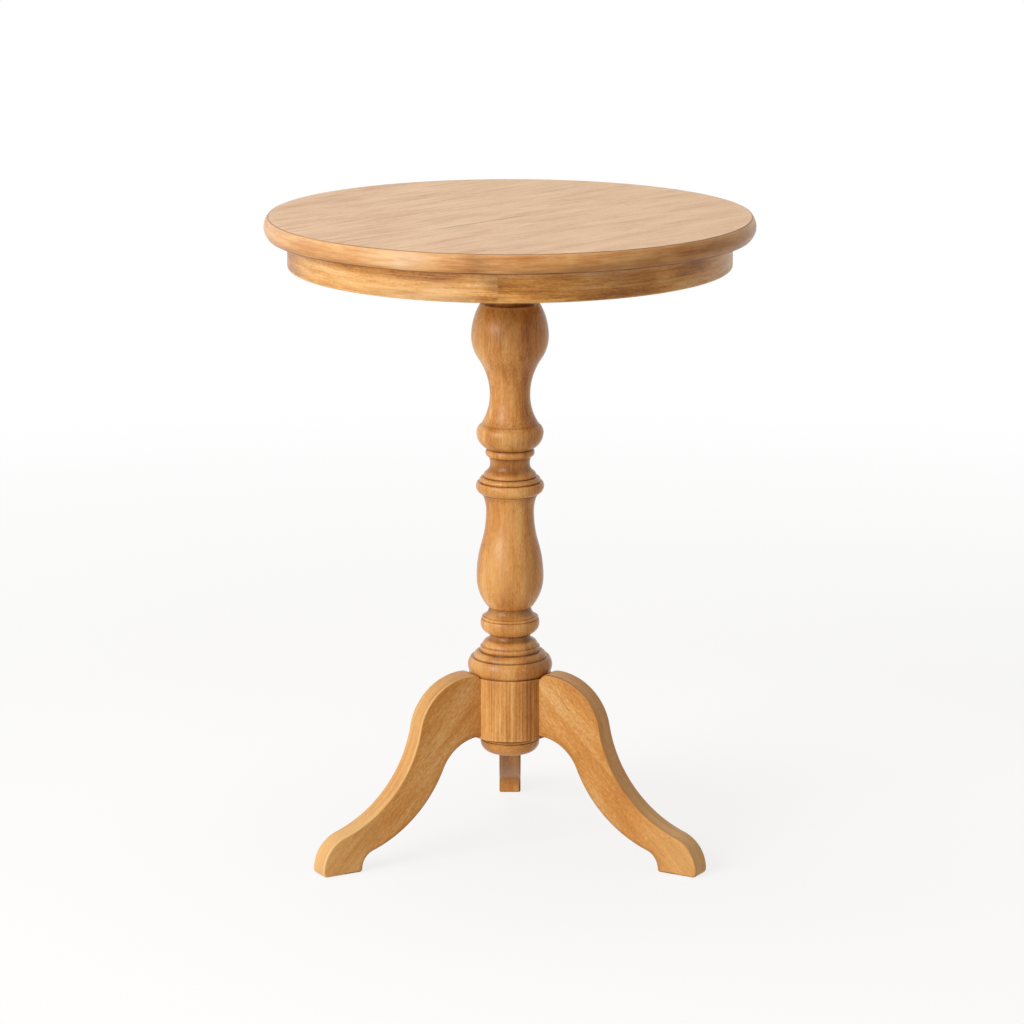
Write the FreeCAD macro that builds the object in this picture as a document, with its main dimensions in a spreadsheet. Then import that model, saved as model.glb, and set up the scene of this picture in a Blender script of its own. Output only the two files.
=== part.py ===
"""Round wine table on a turned column and three sawn legs, at full size in millimetres.

The origin lies on the floor under the column's axis. +Z is up, -Y is the front, and one leg points back.
Every size is written once in SIZES, goes into the sheet, and drives the pieces from there.
"""
import FreeCAD
import Part
import math
import os

import Sketcher
from FreeCAD import Placement, Rotation, Vector

UP = Vector(0, 0, 1)
NODE_FOLDER = "parts"
LEG_NAMES = ("leg_back", "leg_left", "leg_right")
BOARD_JOINTS = ("board_joint_1", "board_joint_2", "board_joint_3")

SIZES = {
    # Round top of edge-glued boards
    "top_radius": 250.0,
    "top_thickness": 20.0,
    "top_edge_swell": 4.0,
    "top_edge_crown": 10.0,
    "grain_angle": 46.0,
    "board_joint_1": -112.0,
    "board_joint_2": -14.0,
    "board_joint_3": 112.0,
    "spline_width": 16.0,
    "spline_thickness": 6.0,
    "spline_stop": 45.0,
    # Apron of curved segments with dowelled ends
    "top_overhang": 23.5,
    "apron_thickness": 20.0,
    "apron_depth": 31.5,
    "apron_arris": 2.0,
    "apron_count": 6,
    "apron_joint_angle": 267.0,
    "dowel_radius": 4.0,
    "dowel_length": 30.0,
    # Glue blocks inside the apron segments
    "block_length": 50.0,
    "block_width": 20.0,
    "block_height": 24.0,
    # Bearer across the boards, from wall to wall of the apron
    "bearer_width": 90.0,
    "bearer_thickness": 28.0,
    "bearer_screw_side": 30.0,
    "bearer_screw_edge": 26.0,
    # Countersunk wood screws
    "screw_bite": 12.0,
    "screw_shank_radius": 2.1,
    "screw_head_radius": 4.2,
    "screw_head_height": 2.6,
    "screw_tip": 4.0,
    "screw_slot_width": 1.2,
    "screw_slot_depth": 1.1,
    # Tenon at the head of the column, and its wedge
    "tenon_radius": 16.0,
    "wedge_depth": 22.0,
    "wedge_thick_end": 3.0,
    "wedge_thin_end": 1.2,
    "kerf_overrun": 3.0,
    # Legs
    "column_lift": 121.5,
    "leg_count": len(LEG_NAMES),
    "first_leg_angle": 90.0,
    "leg_thickness": 23.0,
    "leg_arris": 2.0,
    "leg_crest_reach": 52.5,
    "leg_crest_rise": 6.0,
    "leg_shoulder_radius": 61.5,
    "leg_hollow_radius": 131.0,
    "leg_toe_radius": 37.5,
    "leg_toe_reach": 226.5,
    "leg_toe_round": 5.0,
    "leg_sole_length": 37.5,
    "leg_heel_round": 3.0,
    "leg_heel_radius": 18.5,
    "leg_ankle_radius": 138.0,
    "leg_knee_radius": 48.0,
    "leg_knee_rise": 2.8,
    "tongue_neck": 9.0,
    "tongue_tail": 13.0,
    "tongue_depth": 13.0,
    "flat_overcut": 1.2,
    # Turned cap under the drum
    "cap_neck_radius": 28.6,
    "cap_neck_height": 4.4,
    "cap_bead_radius": 30.2,
    "cap_bead_height": 2.0,
    "cap_groove_radius": 29.4,
    "cap_groove_height": 0.6,
    "cap_rim_radius": 30.8,
    "cap_rim_height": 2.0,
    "cap_bowl_height": 10.0,
    "cap_bottom_radius": 13.0,
    "spigot_radius": 9.0,
    "spigot_length": 18.0,
    # Turned members of the column from the foot up: height, radius at the upper end, and the radius
    # at the lower end where the member steps in or out first
    "drum_height": 64.5,
    "drum_radius": 42.8,
    "quirk_height": 1.0,
    "quirk_radius": 40.6,
    "torus_under_height": 7.5,
    "torus_under_radius": 43.9,
    "torus_under_start": 41.4,
    "torus_over_height": 8.6,
    "torus_over_radius": 40.8,
    "ovolo_height": 6.2,
    "ovolo_radius": 33.2,
    "ovolo_start": 38.2,
    "ovolo_groove_height": 0.8,
    "ovolo_groove_radius": 31.0,
    "ring_under_height": 2.0,
    "ring_under_radius": 31.2,
    "ring_under_start": 30.8,
    "ring_over_height": 2.6,
    "ring_over_radius": 30.7,
    "ring_groove_height": 0.7,
    "ring_groove_radius": 29.4,
    "foot_cove_height": 11.4,
    "foot_cove_radius": 20.8,
    "foot_cove_start": 28.8,
    "foot_cove_share": 0.52,
    "bead_quirk_height": 1.2,
    "bead_quirk_radius": 20.2,
    "bead_under_height": 11.5,
    "bead_under_radius": 30.6,
    "bead_under_start": 21.8,
    "bead_over_height": 3.9,
    "bead_over_radius": 29.9,
    "bead_groove_height": 0.6,
    "bead_groove_radius": 28.8,
    "thread_under_height": 1.3,
    "thread_under_radius": 29.3,
    "thread_under_start": 28.9,
    "thread_over_height": 1.3,
    "thread_over_radius": 28.1,
    "thread_groove_height": 0.6,
    "thread_groove_radius": 26.6,
    "vase_foot_height": 8.8,
    "vase_foot_radius": 21.9,
    "vase_foot_start": 27.1,
    "vase_under_height": 32.5,
    "vase_under_radius": 34.7,
    "vase_under_start": 22.3,
    "vase_over_height": 69.0,
    "vase_over_radius": 24.7,
    "vase_over_share": 0.52,
    "neck_flare_height": 17.0,
    "neck_flare_radius": 27.9,
    "neck_fillet_height": 2.0,
    "neck_fillet_radius": 28.6,
    "collar_under_height": 8.1,
    "collar_under_radius": 35.2,
    "collar_under_start": 29.7,
    "collar_over_height": 4.2,
    "collar_over_radius": 33.8,
    "collar_groove_height": 0.6,
    "collar_groove_radius": 31.0,
    "rib_under_height": 1.2,
    "rib_under_radius": 31.6,
    "rib_under_start": 31.2,
    "rib_over_height": 3.6,
    "rib_over_radius": 29.1,
    "rib_groove_height": 0.8,
    "rib_groove_radius": 26.8,
    "collar_cove_height": 13.0,
    "collar_cove_radius": 20.5,
    "collar_cove_start": 27.4,
    "collar_cove_share": 0.35,
    "throat_height": 7.8,
    "throat_radius": 22.2,
    "pearl_under_height": 4.0,
    "pearl_under_radius": 25.4,
    "pearl_under_start": 23.0,
    "pearl_over_height": 3.5,
    "pearl_over_radius": 24.2,
    "pearl_groove_height": 0.7,
    "pearl_groove_radius": 23.6,
    "cup_under_height": 16.8,
    "cup_under_radius": 34.6,
    "cup_under_start": 24.1,
    "cup_over_height": 8.3,
    "cup_over_radius": 30.2,
    "waist_height": 30.7,
    "waist_radius": 20.8,
    "waist_start": 29.7,
    "bulb_under_height": 61.0,
    "bulb_under_radius": 39.8,
    "bulb_under_share": 0.63,
    "bulb_over_height": 34.2,
    "bulb_over_radius": 30.5,
    "head_cove_height": 21.0,
    "head_cove_radius": 21.5,
    "head_cove_start": 25.5,
    "head_flare_height": 16.0,
    "head_flare_radius": 29.5,
    "shoulder_height": 6.0,
    "shoulder_radius": 32.0,
    # Fits
    "fit_gap": 0.1,
    "seat_gap": 0.2,
}

# How the line of a turned member runs from its lower to its upper end.
BAND = "plumb band"
ENDS_PLUMB = "arc that ends plumb"
STARTS_PLUMB = "arc that starts plumb"
OGEE = "two arcs, plumb at both ends"

# Turned members of the column from the foot up, and how each runs
COLUMN_MEMBERS = (
    ("drum", BAND),
    ("quirk", BAND),
    ("torus_under", ENDS_PLUMB),
    ("torus_over", STARTS_PLUMB),
    ("ovolo", STARTS_PLUMB),
    ("ovolo_groove", BAND),
    ("ring_under", ENDS_PLUMB),
    ("ring_over", STARTS_PLUMB),
    ("ring_groove", BAND),
    ("foot_cove", OGEE),
    ("bead_quirk", BAND),
    ("bead_under", ENDS_PLUMB),
    ("bead_over", STARTS_PLUMB),
    ("bead_groove", BAND),
    ("thread_under", ENDS_PLUMB),
    ("thread_over", STARTS_PLUMB),
    ("thread_groove", BAND),
    ("vase_foot", ENDS_PLUMB),
    ("vase_under", ENDS_PLUMB),
    ("vase_over", OGEE),
    ("neck_flare", STARTS_PLUMB),
    ("neck_fillet", BAND),
    ("collar_under", ENDS_PLUMB),
    ("collar_over", STARTS_PLUMB),
    ("collar_groove", BAND),
    ("rib_under", ENDS_PLUMB),
    ("rib_over", STARTS_PLUMB),
    ("rib_groove", BAND),
    ("collar_cove", OGEE),
    ("throat", STARTS_PLUMB),
    ("pearl_under", ENDS_PLUMB),
    ("pearl_over", STARTS_PLUMB),
    ("pearl_groove", BAND),
    ("cup_under", ENDS_PLUMB),
    ("cup_over", STARTS_PLUMB),
    ("waist", ENDS_PLUMB),
    ("bulb_under", OGEE),
    ("bulb_over", STARTS_PLUMB),
    ("head_cove", ENDS_PLUMB),
    ("head_flare", STARTS_PLUMB),
    ("shoulder", BAND),
)


class Length:
    """A size with the sheet formula that gives it, kept together through arithmetic."""

    def __init__(self, value, formula):
        self.value = value
        self.formula = formula

    def __add__(self, other):
        return combine(self, other, "+", self.value + plain(other))

    def __sub__(self, other):
        return combine(self, other, "-", self.value - plain(other))

    def __mul__(self, other):
        return combine(self, other, "*", self.value * plain(other))

    def __truediv__(self, other):
        return combine(self, other, "/", self.value / plain(other))

    def __neg__(self):
        return self * -1

    def leg_of(self, other):
        """Second short side of a right triangle with this long side and the other short side."""
        value = math.sqrt(self.value ** 2 - other.value ** 2)
        return Length(value, f"sqrt({self.formula} ^ 2 - ({other.formula}) ^ 2)")


def plain(item):
    """Number behind a length or a plain number."""
    return item.value if isinstance(item, Length) else item


def combine(first, second, sign, value):
    """Length for one arithmetic step, with both formulas joined by its sign."""
    other = second.formula if isinstance(second, Length) else str(second)
    return Length(value, f"({first.formula} {sign} {other})")


def make_sheet():
    """Sheet with one aliased row for each size."""
    sheet = doc.addObject("Spreadsheet::Sheet", "Sizes")
    for row, (name, value) in enumerate(SIZES.items(), start=1):
        sheet.set(f"A{row}", name)
        sheet.set(f"B{row}", str(value))
        sheet.setAlias(f"B{row}", name)
    doc.recompute()
    return sheet


def size(name):
    """Length of one sheet cell."""
    return Length(SHEET.get(name), "Sizes." + name)


def total(lengths):
    """Sum of several lengths, as one flat formula."""
    items = list(lengths)
    return Length(sum(item.value for item in items), "(" + " + ".join(item.formula for item in items) + ")")


doc = FreeCAD.newDocument("wine_table")
SHEET = make_sheet()

ZERO = Length(0.0, "0")
GRAIN = size("grain_angle")
FOOT_LEVEL = size("column_lift")
DRUM_TOP = FOOT_LEVEL + size("drum_height")
SHOULDER_LEVEL = FOOT_LEVEL + total(size(name + "_height") for name, line in COLUMN_MEMBERS)
DECK_LEVEL = SHOULDER_LEVEL + size("bearer_thickness")
APRON_OUTER = size("top_radius") - size("top_overhang")
APRON_INNER = APRON_OUTER - size("apron_thickness")
DRUM_FLAT = size("drum_radius").leg_of(size("leg_thickness") / 2)
TONGUE_HEIGHT = size("drum_height") - size("seat_gap")


def bind(item, **formulas):
    """Ties an object's properties to lengths; a double underscore in a name stands for a dot."""
    for name, length in formulas.items():
        item.setExpression(name.replace("__", "."), length.formula)


def place(item, angle, x, y, z):
    """Puts an object at a point of a frame that is turned about the column's axis."""
    turn_cos = f"cos({angle.formula} * 1deg)"
    turn_sin = f"sin({angle.formula} * 1deg)"
    item.Placement = Placement(Vector(), Rotation(UP, angle.value))
    item.setExpression("Placement.Rotation.Angle", angle.formula)
    item.setExpression("Placement.Base.x", f"{x.formula} * {turn_cos} - {y.formula} * {turn_sin}")
    item.setExpression("Placement.Base.y", f"{x.formula} * {turn_sin} + {y.formula} * {turn_cos}")
    item.setExpression("Placement.Base.z", z.formula)


def turned_point(angle, x, y, z):
    """Point of a frame that is turned about the column's axis, as a vector."""
    return Rotation(UP, angle.value).multVec(Vector(x.value, y.value, z.value))


def origin_plane(body, role):
    """Origin plane of a body by its role."""
    return next(plane for plane in body.Origin.OriginFeatures if plane.Role == role)


class Outline:
    """Closed sketch outline, drawn point by point and dimensioned from the sheet."""

    def __init__(self, body, name, plane, level=None):
        self.sketch = body.newObject("Sketcher::SketchObject", name)
        self.sketch.AttachmentSupport = (origin_plane(body, plane), [""])
        self.sketch.MapMode = "FlatFace"
        if level:
            self.sketch.setExpression("AttachmentOffset.Base.z", level.formula)
        self.shapes = []
        self.ends = []
        self.rules = []
        self.formulas = {}

    def rule(self, *terms, length=None):
        """Adds one constraint, bound to a length where it is a dimension."""
        if length:
            self.formulas[len(self.rules)] = length.formula
            terms = (*terms, length.value)
        self.rules.append(Sketcher.Constraint(*terms))

    def line(self, start, end, joined=True):
        """Adds a straight edge and returns its index."""
        self.shapes.append(Part.LineSegment(Vector(*start, 0), Vector(*end, 0)))
        self.ends.append((1, 2))
        return self.join(joined)

    def arc(self, centre, start, end, joined=True):
        """Adds the shorter arc round a centre from start to end and returns its index."""
        first = math.atan2(start[1] - centre[1], start[0] - centre[0])
        last = math.atan2(end[1] - centre[1], end[0] - centre[0])
        forward = (last - first) % (2 * math.pi) <= math.pi
        circle = Part.Circle(Vector(*centre, 0), UP, math.dist(centre, start))
        self.shapes.append(Part.ArcOfCircle(circle, *((first, last) if forward else (last, first))))
        self.ends.append((1, 2) if forward else (2, 1))
        return self.join(joined)

    def join(self, joined):
        """Ties the newest edge to the end of the one before it."""
        index = len(self.shapes) - 1
        if index and joined:
            self.rule("Coincident", index - 1, self.ends[index - 1][1], index, self.ends[index][0])
        return index

    def start_of(self, index):
        """Sketch reference of an edge's first point."""
        return index, self.ends[index][0]

    def end_of(self, index):
        """Sketch reference of an edge's last point."""
        return index, self.ends[index][1]

    def pin(self, point, x=None, y=None):
        """Dimensions a point from the sketch's origin."""
        if x:
            self.rule("DistanceX", -1, 1, *point, length=x)
        if y:
            self.rule("DistanceY", -1, 1, *point, length=y)

    def finish(self):
        """Closes the outline, writes it into the sketch and ties its dimensions to the sheet."""
        last = len(self.shapes) - 1
        self.rule("Coincident", *self.end_of(last), *self.start_of(0))
        self.sketch.addGeometry(self.shapes, False)
        self.sketch.addConstraint(self.rules)
        for index, formula in self.formulas.items():
            self.sketch.setExpression(f"Constraints[{index}]", formula)
        doc.recompute()
        if self.sketch.solve():
            raise RuntimeError(self.sketch.Name + " has no solution")
        return self.sketch


def plumb_centre(plumb_end, other_end):
    """Centre of the arc through two points that runs plumb at the first one."""
    across = other_end[0] - plumb_end[0]
    along = other_end[1] - plumb_end[1]
    return plumb_end[0] + (across ** 2 + along ** 2) / (2 * across), plumb_end[1]


class Turning:
    """Half profile of a turned piece, from its lower end up."""

    def __init__(self, body, name, level, inner=None):
        self.outline = Outline(body, name, "XZ_Plane")
        self.inner = inner
        self.level = level
        self.height = ZERO
        self.radius = inner or ZERO
        self.opened = False

    def at(self):
        """Present point of the profile, as numbers."""
        return self.radius.value, self.level.value + self.height.value

    def step(self, radius):
        """Level step to another radius; the first one opens the profile on its inner line."""
        if abs(radius.value - self.radius.value) < 1e-9:
            return
        edge = self.outline.line(self.at(), (radius.value, self.at()[1]))
        self.outline.rule("Horizontal", edge)
        if not self.opened:
            self.open(edge)
        self.outline.pin(self.outline.end_of(edge), x=radius)
        self.radius = radius

    def open(self, edge):
        """Sets the first point on the axis or on the bore."""
        start = self.outline.start_of(edge)
        if self.inner:
            self.outline.pin(start, x=self.inner)
        else:
            self.outline.rule("PointOnObject", *start, -2)
        if self.level.value:
            self.outline.pin(start, y=self.level)
        else:
            self.outline.rule("PointOnObject", *start, -1)
        self.opened = True

    def rise(self, edge, height, radius):
        """Dimensions the upper end of an edge and moves on to it."""
        start, end = self.outline.start_of(edge), self.outline.end_of(edge)
        self.outline.rule("DistanceY", *start, *end, length=height)
        if radius is self.radius:
            self.outline.rule("Vertical", edge)
        else:
            self.outline.pin(end, x=radius)
        self.radius = radius
        self.height = self.height + height

    def band(self, height, radius):
        """Plumb band, after a step to its radius."""
        self.step(radius)
        top = (radius.value, self.at()[1] + height.value)
        edge = self.outline.line(self.at(), top)
        self.rise(edge, height, self.radius)

    def arc(self, height, radius, plumb_at_start):
        """Arc that runs plumb at its lower or its upper end."""
        low = self.at()
        high = (radius.value, low[1] + height.value)
        centre = plumb_centre(low, high) if plumb_at_start else plumb_centre(high, low)
        edge = self.outline.arc(centre, low, high)
        plumb = self.outline.start_of(edge) if plumb_at_start else self.outline.end_of(edge)
        self.outline.rule("Horizontal", edge, 3, *plumb)
        self.rise(edge, height, radius)

    def ogee(self, height, radius, share):
        """Two arcs that meet on the chord and run plumb at both ends."""
        middle = self.radius + (radius - self.radius) * share
        self.arc(height * share, middle, True)
        self.arc(height - height * share, radius, False)

    def member(self, name, line):
        """Adds one named member of a turning, after the step that it may start with."""
        height, radius = size(name + "_height"), size(name + "_radius")
        if name + "_start" in SIZES:
            self.step(size(name + "_start"))
        if line == BAND:
            self.band(height, radius)
        elif line == OGEE:
            self.ogee(height, radius, size(name + "_share"))
        else:
            self.arc(height, radius, line == STARTS_PLUMB)

    def revolve(self, body, name, angle=None):
        """Closes the profile on its inner line and turns it into a solid."""
        self.step(self.inner or ZERO)
        bottom = (self.radius.value, self.level.value)
        self.outline.line(self.at(), bottom)
        sketch = self.outline.finish()
        feature = body.newObject("PartDesign::Revolution", name)
        feature.Profile = sketch
        feature.ReferenceAxis = (sketch, ["V_Axis"])
        feature.Angle = angle.value if angle else 360.0
        if angle:
            bind(feature, Angle=angle)
        doc.recompute()
        return feature


def new_body(name):
    """Empty body."""
    return doc.addObject("PartDesign::Body", name)


def boolean(kind, label, base, tool):
    """Part::Cut or Part::Common of two objects, under the label of the piece it makes."""
    item = doc.addObject("Part::" + kind, label)
    item.Base = base
    item.Tool = tool
    return item


def fused(name, tools):
    """Several tools as one, for a single cut."""
    item = doc.addObject("Part::MultiFuse", name)
    item.Shapes = tools
    return item


def shape_group(label, shapes):
    """Separate solids in one object."""
    item = doc.addObject("Part::Feature", label)
    item.Shape = Part.makeCompound(shapes)
    return item


def upright_screw(point, length, gap):
    """Countersunk screw, head down, that rises from a point; a gap widens it into its own hole."""
    shank = size("screw_shank_radius").value + gap
    head = size("screw_head_radius").value + gap
    head_height, tip = size("screw_head_height").value, size("screw_tip").value
    body = Part.makeCylinder(shank, length.value - tip, point)
    cone = Part.makeCone(head, shank, head_height, point)
    end = Part.makeCone(shank, gap, tip, point + UP * (length.value - tip))
    screw = body.fuse([cone, end]).removeSplitter()
    if gap:
        return screw
    slot_width, slot_depth = size("screw_slot_width").value, size("screw_slot_depth").value
    corner = point - Vector(head, slot_width / 2, 0)
    return screw.cut(Part.makeBox(2 * head, slot_width, slot_depth, corner))


def make_screws(label, points, length):
    """Screw group and the group of holes that it needs."""
    gap = size("fit_gap").value
    screws = [upright_screw(point, length, 0.0) for point in points]
    holes = [upright_screw(point, length, gap) for point in points]
    return shape_group(label, screws), shape_group(label + "_holes", holes)


def make_top_disc():
    """Whole round top with its rounded edge, before it is divided into boards."""
    body = new_body("top_disc")
    turning = Turning(body, "top_disc_profile", DECK_LEVEL)
    arris = size("top_radius") - size("top_edge_swell")
    turning.step(arris)
    turning.arc(size("top_thickness") - size("top_edge_crown"), size("top_radius"), False)
    turning.arc(size("top_edge_crown"), arris, True)
    turning.revolve(body, "top_disc_solid")
    return body


def make_splines():
    """Loose splines in the board joints, stopped short of the rim."""
    splines = []
    level = DECK_LEVEL + (size("top_thickness") - size("spline_thickness")) / 2
    for number, name in enumerate(BOARD_JOINTS, start=1):
        joint = size(name)
        half = size("top_radius").leg_of(joint) - size("spline_stop")
        spline = doc.addObject("Part::Box", f"top_spline_{number}")
        bind(spline, Length=half * 2, Width=size("spline_width"), Height=size("spline_thickness"))
        place(spline, GRAIN, -half, joint - size("spline_width") / 2, level)
        splines.append(spline)
    return splines


def make_boards(disc, cuts):
    """Boards of the top, each a strip of the disc with its slots and screw holes."""
    edges = [-size("top_radius"), *(size(name) for name in BOARD_JOINTS), size("top_radius")]
    boards = []
    for number, (low, high) in enumerate(zip(edges, edges[1:]), start=1):
        strip = doc.addObject("Part::Box", f"board_strip_{number}")
        bind(strip, Length=size("top_radius") * 2, Width=high - low, Height=size("top_thickness"))
        place(strip, GRAIN, -size("top_radius"), low, DECK_LEVEL)
        blank = boolean("Common", f"board_blank_{number}", disc, strip)
        boards.append(boolean("Cut", f"top_board_{number}", blank, cuts))
    return boards


def spread_angles(first):
    """Directions that are spread evenly round the column, one for each segment of the apron."""
    count = size("apron_count")
    return [first + Length(360.0 * number, str(360 * number)) / count for number in range(int(count.value))]


def joint_angles():
    """Directions of the apron's end joints."""
    return spread_angles(size("apron_joint_angle"))


def block_angles():
    """Directions of the glue blocks, which stand clear of the bearer's ends."""
    return spread_angles(GRAIN)


def make_dowels(gap):
    """Dowels across the apron's end joints, or, with a gap, their holes."""
    middle = APRON_OUTER - size("apron_thickness") / 2
    level = DECK_LEVEL - size("apron_depth") / 2
    radius = size("dowel_radius").value + gap
    length = size("dowel_length").value
    dowels = []
    for angle in joint_angles():
        along = Rotation(UP, angle.value).multVec(Vector(0, 1, 0))
        centre = turned_point(angle, middle, ZERO, level)
        dowels.append(Part.makeCylinder(radius, length, centre - along * (length / 2), along))
    return dowels


def make_apron():
    """Curved segments of the apron, with a rounded lower arris and dowel holes in their ends."""
    holes = shape_group("apron_dowel_holes", make_dowels(size("fit_gap").value))
    sweep = Length(360.0, "360") / size("apron_count")
    segments = []
    for number, angle in enumerate(joint_angles(), start=1):
        body = new_body(f"apron_blank_{number}")
        turning = Turning(body, f"apron_profile_{number}", DECK_LEVEL - size("apron_depth"), APRON_INNER)
        turning.step(APRON_OUTER - size("apron_arris"))
        turning.arc(size("apron_arris"), APRON_OUTER, False)
        turning.band(size("apron_depth") - size("apron_arris"), turning.radius)
        turning.revolve(body, f"apron_solid_{number}", sweep)
        place(body, angle, ZERO, ZERO, ZERO)
        segments.append(boolean("Cut", f"apron_segment_{number}", body, holes))
    return segments


def make_apron_bound():
    """Round space inside the apron, less a fine gap, that curves what stands against the apron."""
    bound = doc.addObject("Part::Cylinder", "apron_bound")
    bind(bound, Radius=APRON_INNER - size("fit_gap"), Height=DECK_LEVEL)
    return bound


def make_blocks(bound, holes):
    """Glue blocks inside the apron segments, curved to the apron on their outer side."""
    blocks = []
    for number, angle in enumerate(block_angles(), start=1):
        blank = doc.addObject("Part::Box", f"block_blank_{number}")
        bind(blank, Length=size("block_width") * 2, Width=size("block_length"), Height=size("block_height"))
        place(blank, angle, APRON_INNER - size("block_width"), -size("block_length") / 2,
              DECK_LEVEL - size("block_height"))
        curved = boolean("Common", f"block_curved_{number}", blank, bound)
        blocks.append(boolean("Cut", f"glue_block_{number}", curved, holes))
    return blocks


def block_screw_points():
    """Feet of the screws in the glue blocks."""
    reach = APRON_INNER - size("block_width") / 2
    level = DECK_LEVEL - size("block_height")
    return [turned_point(angle, reach, ZERO, level) for angle in block_angles()]


def bearer_screw_points():
    """Feet of the screws in the bearer: a pair in every board, at its middle or beside its inner joint."""
    side, edge = size("bearer_screw_side"), size("bearer_screw_edge")
    joints = [size(name) for name in BOARD_JOINTS]
    middles = [(low + high) / 2 for low, high in zip(joints, joints[1:])]
    rows = [joints[0] - edge, *middles, joints[-1] + edge]
    return [turned_point(GRAIN, across, row, SHOULDER_LEVEL) for row in rows for across in (-side, side)]


def make_bearer(bound, holes):
    """Bearer across the boards, curved to the apron at its ends, with a mortise for the column's tenon."""
    blank = doc.addObject("Part::Box", "bearer_blank")
    width, thickness = size("bearer_width"), size("bearer_thickness")
    bind(blank, Length=width, Width=APRON_INNER * 2, Height=thickness)
    place(blank, GRAIN, -width / 2, -APRON_INNER, SHOULDER_LEVEL)
    curved = boolean("Common", "bearer_curved", blank, bound)
    mortise = doc.addObject("Part::Cylinder", "bearer_mortise")
    bind(mortise, Radius=size("tenon_radius") + size("fit_gap"), Height=thickness,
         Placement__Base__z=SHOULDER_LEVEL)
    return boolean("Cut", "bearer", curved, fused("bearer_cuts", [mortise, holes]))


def make_wedge():
    """Wedge for the tenon: the long blank that saws the kerf, and the piece trimmed to the tenon."""
    blank = doc.addObject("Part::Wedge", "kerf")
    reach = size("tenon_radius") + size("kerf_overrun")
    thin, thick = size("wedge_thin_end") / 2, size("wedge_thick_end") / 2
    bind(blank, Xmin=-reach, X2min=-reach, Xmax=reach, X2max=reach, Ymin=ZERO, Ymax=size("wedge_depth"),
         Zmin=-thin, Zmax=thin, Z2min=-thick, Z2max=thick)
    blank.Placement = Placement(Vector(), Rotation(GRAIN.value, 0, 90))
    bind(blank, Placement__Base__z=DECK_LEVEL - size("wedge_depth"))
    tenon = doc.addObject("Part::Cylinder", "tenon_bound")
    bind(tenon, Radius=size("tenon_radius"), Height=DECK_LEVEL)
    return blank, boolean("Common", "tenon_wedge", blank, tenon)


def dovetail(body, name, gap):
    """Dovetail section that widens inwards from the drum's flat, on the level of the column's foot."""
    outline = Outline(body, name, "XY_Plane", FOOT_LEVEL)
    neck = size("tongue_neck") / 2 + gap
    tail = size("tongue_tail") / 2 + gap
    end = DRUM_FLAT - size("tongue_depth") - gap
    corners = [(DRUM_FLAT.value, -neck.value), (DRUM_FLAT.value, neck.value),
               (end.value, tail.value), (end.value, -tail.value)]
    edges = [outline.line(corners[n], corners[(n + 1) % 4]) for n in range(4)]
    for near, far in ((0, 1), (3, 2)):
        outline.rule("Symmetric", *outline.start_of(edges[near]), *outline.start_of(edges[far]), -1)
    outline.pin(outline.start_of(edges[1]), x=DRUM_FLAT, y=neck)
    outline.pin(outline.start_of(edges[2]), x=end, y=tail)
    return outline.finish()


def flat_cut(body):
    """Section that pares one flat on the drum, as wide as it needs to be to clear the round."""
    outline = Outline(body, "drum_flat_section", "XY_Plane", FOOT_LEVEL)
    side = size("leg_thickness") / 2 + size("flat_overcut")
    outer = size("drum_radius") + size("flat_overcut")
    corners = [(DRUM_FLAT.value, -side.value), (outer.value, -side.value),
               (outer.value, side.value), (DRUM_FLAT.value, side.value)]
    edges = [outline.line(corners[n], corners[(n + 1) % 4]) for n in range(4)]
    for first, second in ((0, 3), (1, 2)):
        outline.rule("Symmetric", *outline.start_of(edges[first]), *outline.start_of(edges[second]), -1)
    outline.pin(outline.start_of(edges[3]), x=DRUM_FLAT, y=side)
    outline.pin(outline.start_of(edges[2]), x=outer, y=side)
    return outline.finish()


def bore_section(body):
    """Round section of the bore for the cap's spigot."""
    sketch = body.newObject("Sketcher::SketchObject", "spigot_bore_section")
    sketch.AttachmentSupport = (origin_plane(body, "XY_Plane"), [""])
    sketch.MapMode = "FlatFace"
    sketch.setExpression("AttachmentOffset.Base.z", FOOT_LEVEL.formula)
    radius = size("spigot_radius") + size("fit_gap")
    sketch.addGeometry(Part.Circle(Vector(), UP, radius.value), False)
    sketch.addConstraint([Sketcher.Constraint("Coincident", 0, 3, -1, 1),
                          Sketcher.Constraint("Radius", 0, radius.value)])
    sketch.setExpression("Constraints[1]", radius.formula)
    doc.recompute()
    return sketch


def pocket(body, name, sketch, depth):
    """Cut from the column's foot upwards."""
    before = body.Shape.Volume
    feature = body.newObject("PartDesign::Pocket", name)
    feature.Profile = sketch
    feature.Reversed = True
    feature.Length = depth.value
    bind(feature, Length=depth)
    doc.recompute()
    if body.Shape.Volume >= before:
        raise RuntimeError(name + " cuts nothing")
    return feature


def make_column(kerf):
    """Turned column with its tenon, the flats and dovetail sockets for the legs, and the cap's bore."""
    body = new_body("column_blank")
    turning = Turning(body, "column_profile", FOOT_LEVEL)
    turning.step(size("drum_radius"))
    for name, line in COLUMN_MEMBERS:
        turning.member(name, line)
    turning.band(size("bearer_thickness"), size("tenon_radius"))
    turning.revolve(body, "column_turned")
    flat = pocket(body, "drum_flat", flat_cut(body), size("drum_height"))
    socket_section = dovetail(body, "socket_section", size("fit_gap"))
    socket = pocket(body, "leg_socket", socket_section, size("drum_height"))
    around = body.newObject("PartDesign::PolarPattern", "leg_seats")
    around.Originals = [flat, socket]
    around.Axis = (origin_plane(body, "Z_Axis"), [""])
    around.Angle = 360.0
    bind(around, Occurrences=size("leg_count"))
    body.Tip = around
    doc.recompute()
    pocket(body, "spigot_bore", bore_section(body), size("spigot_length") + size("seat_gap"))
    place(body, size("first_leg_angle"), ZERO, ZERO, ZERO)
    return boolean("Cut", "column", body, kerf)


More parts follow.
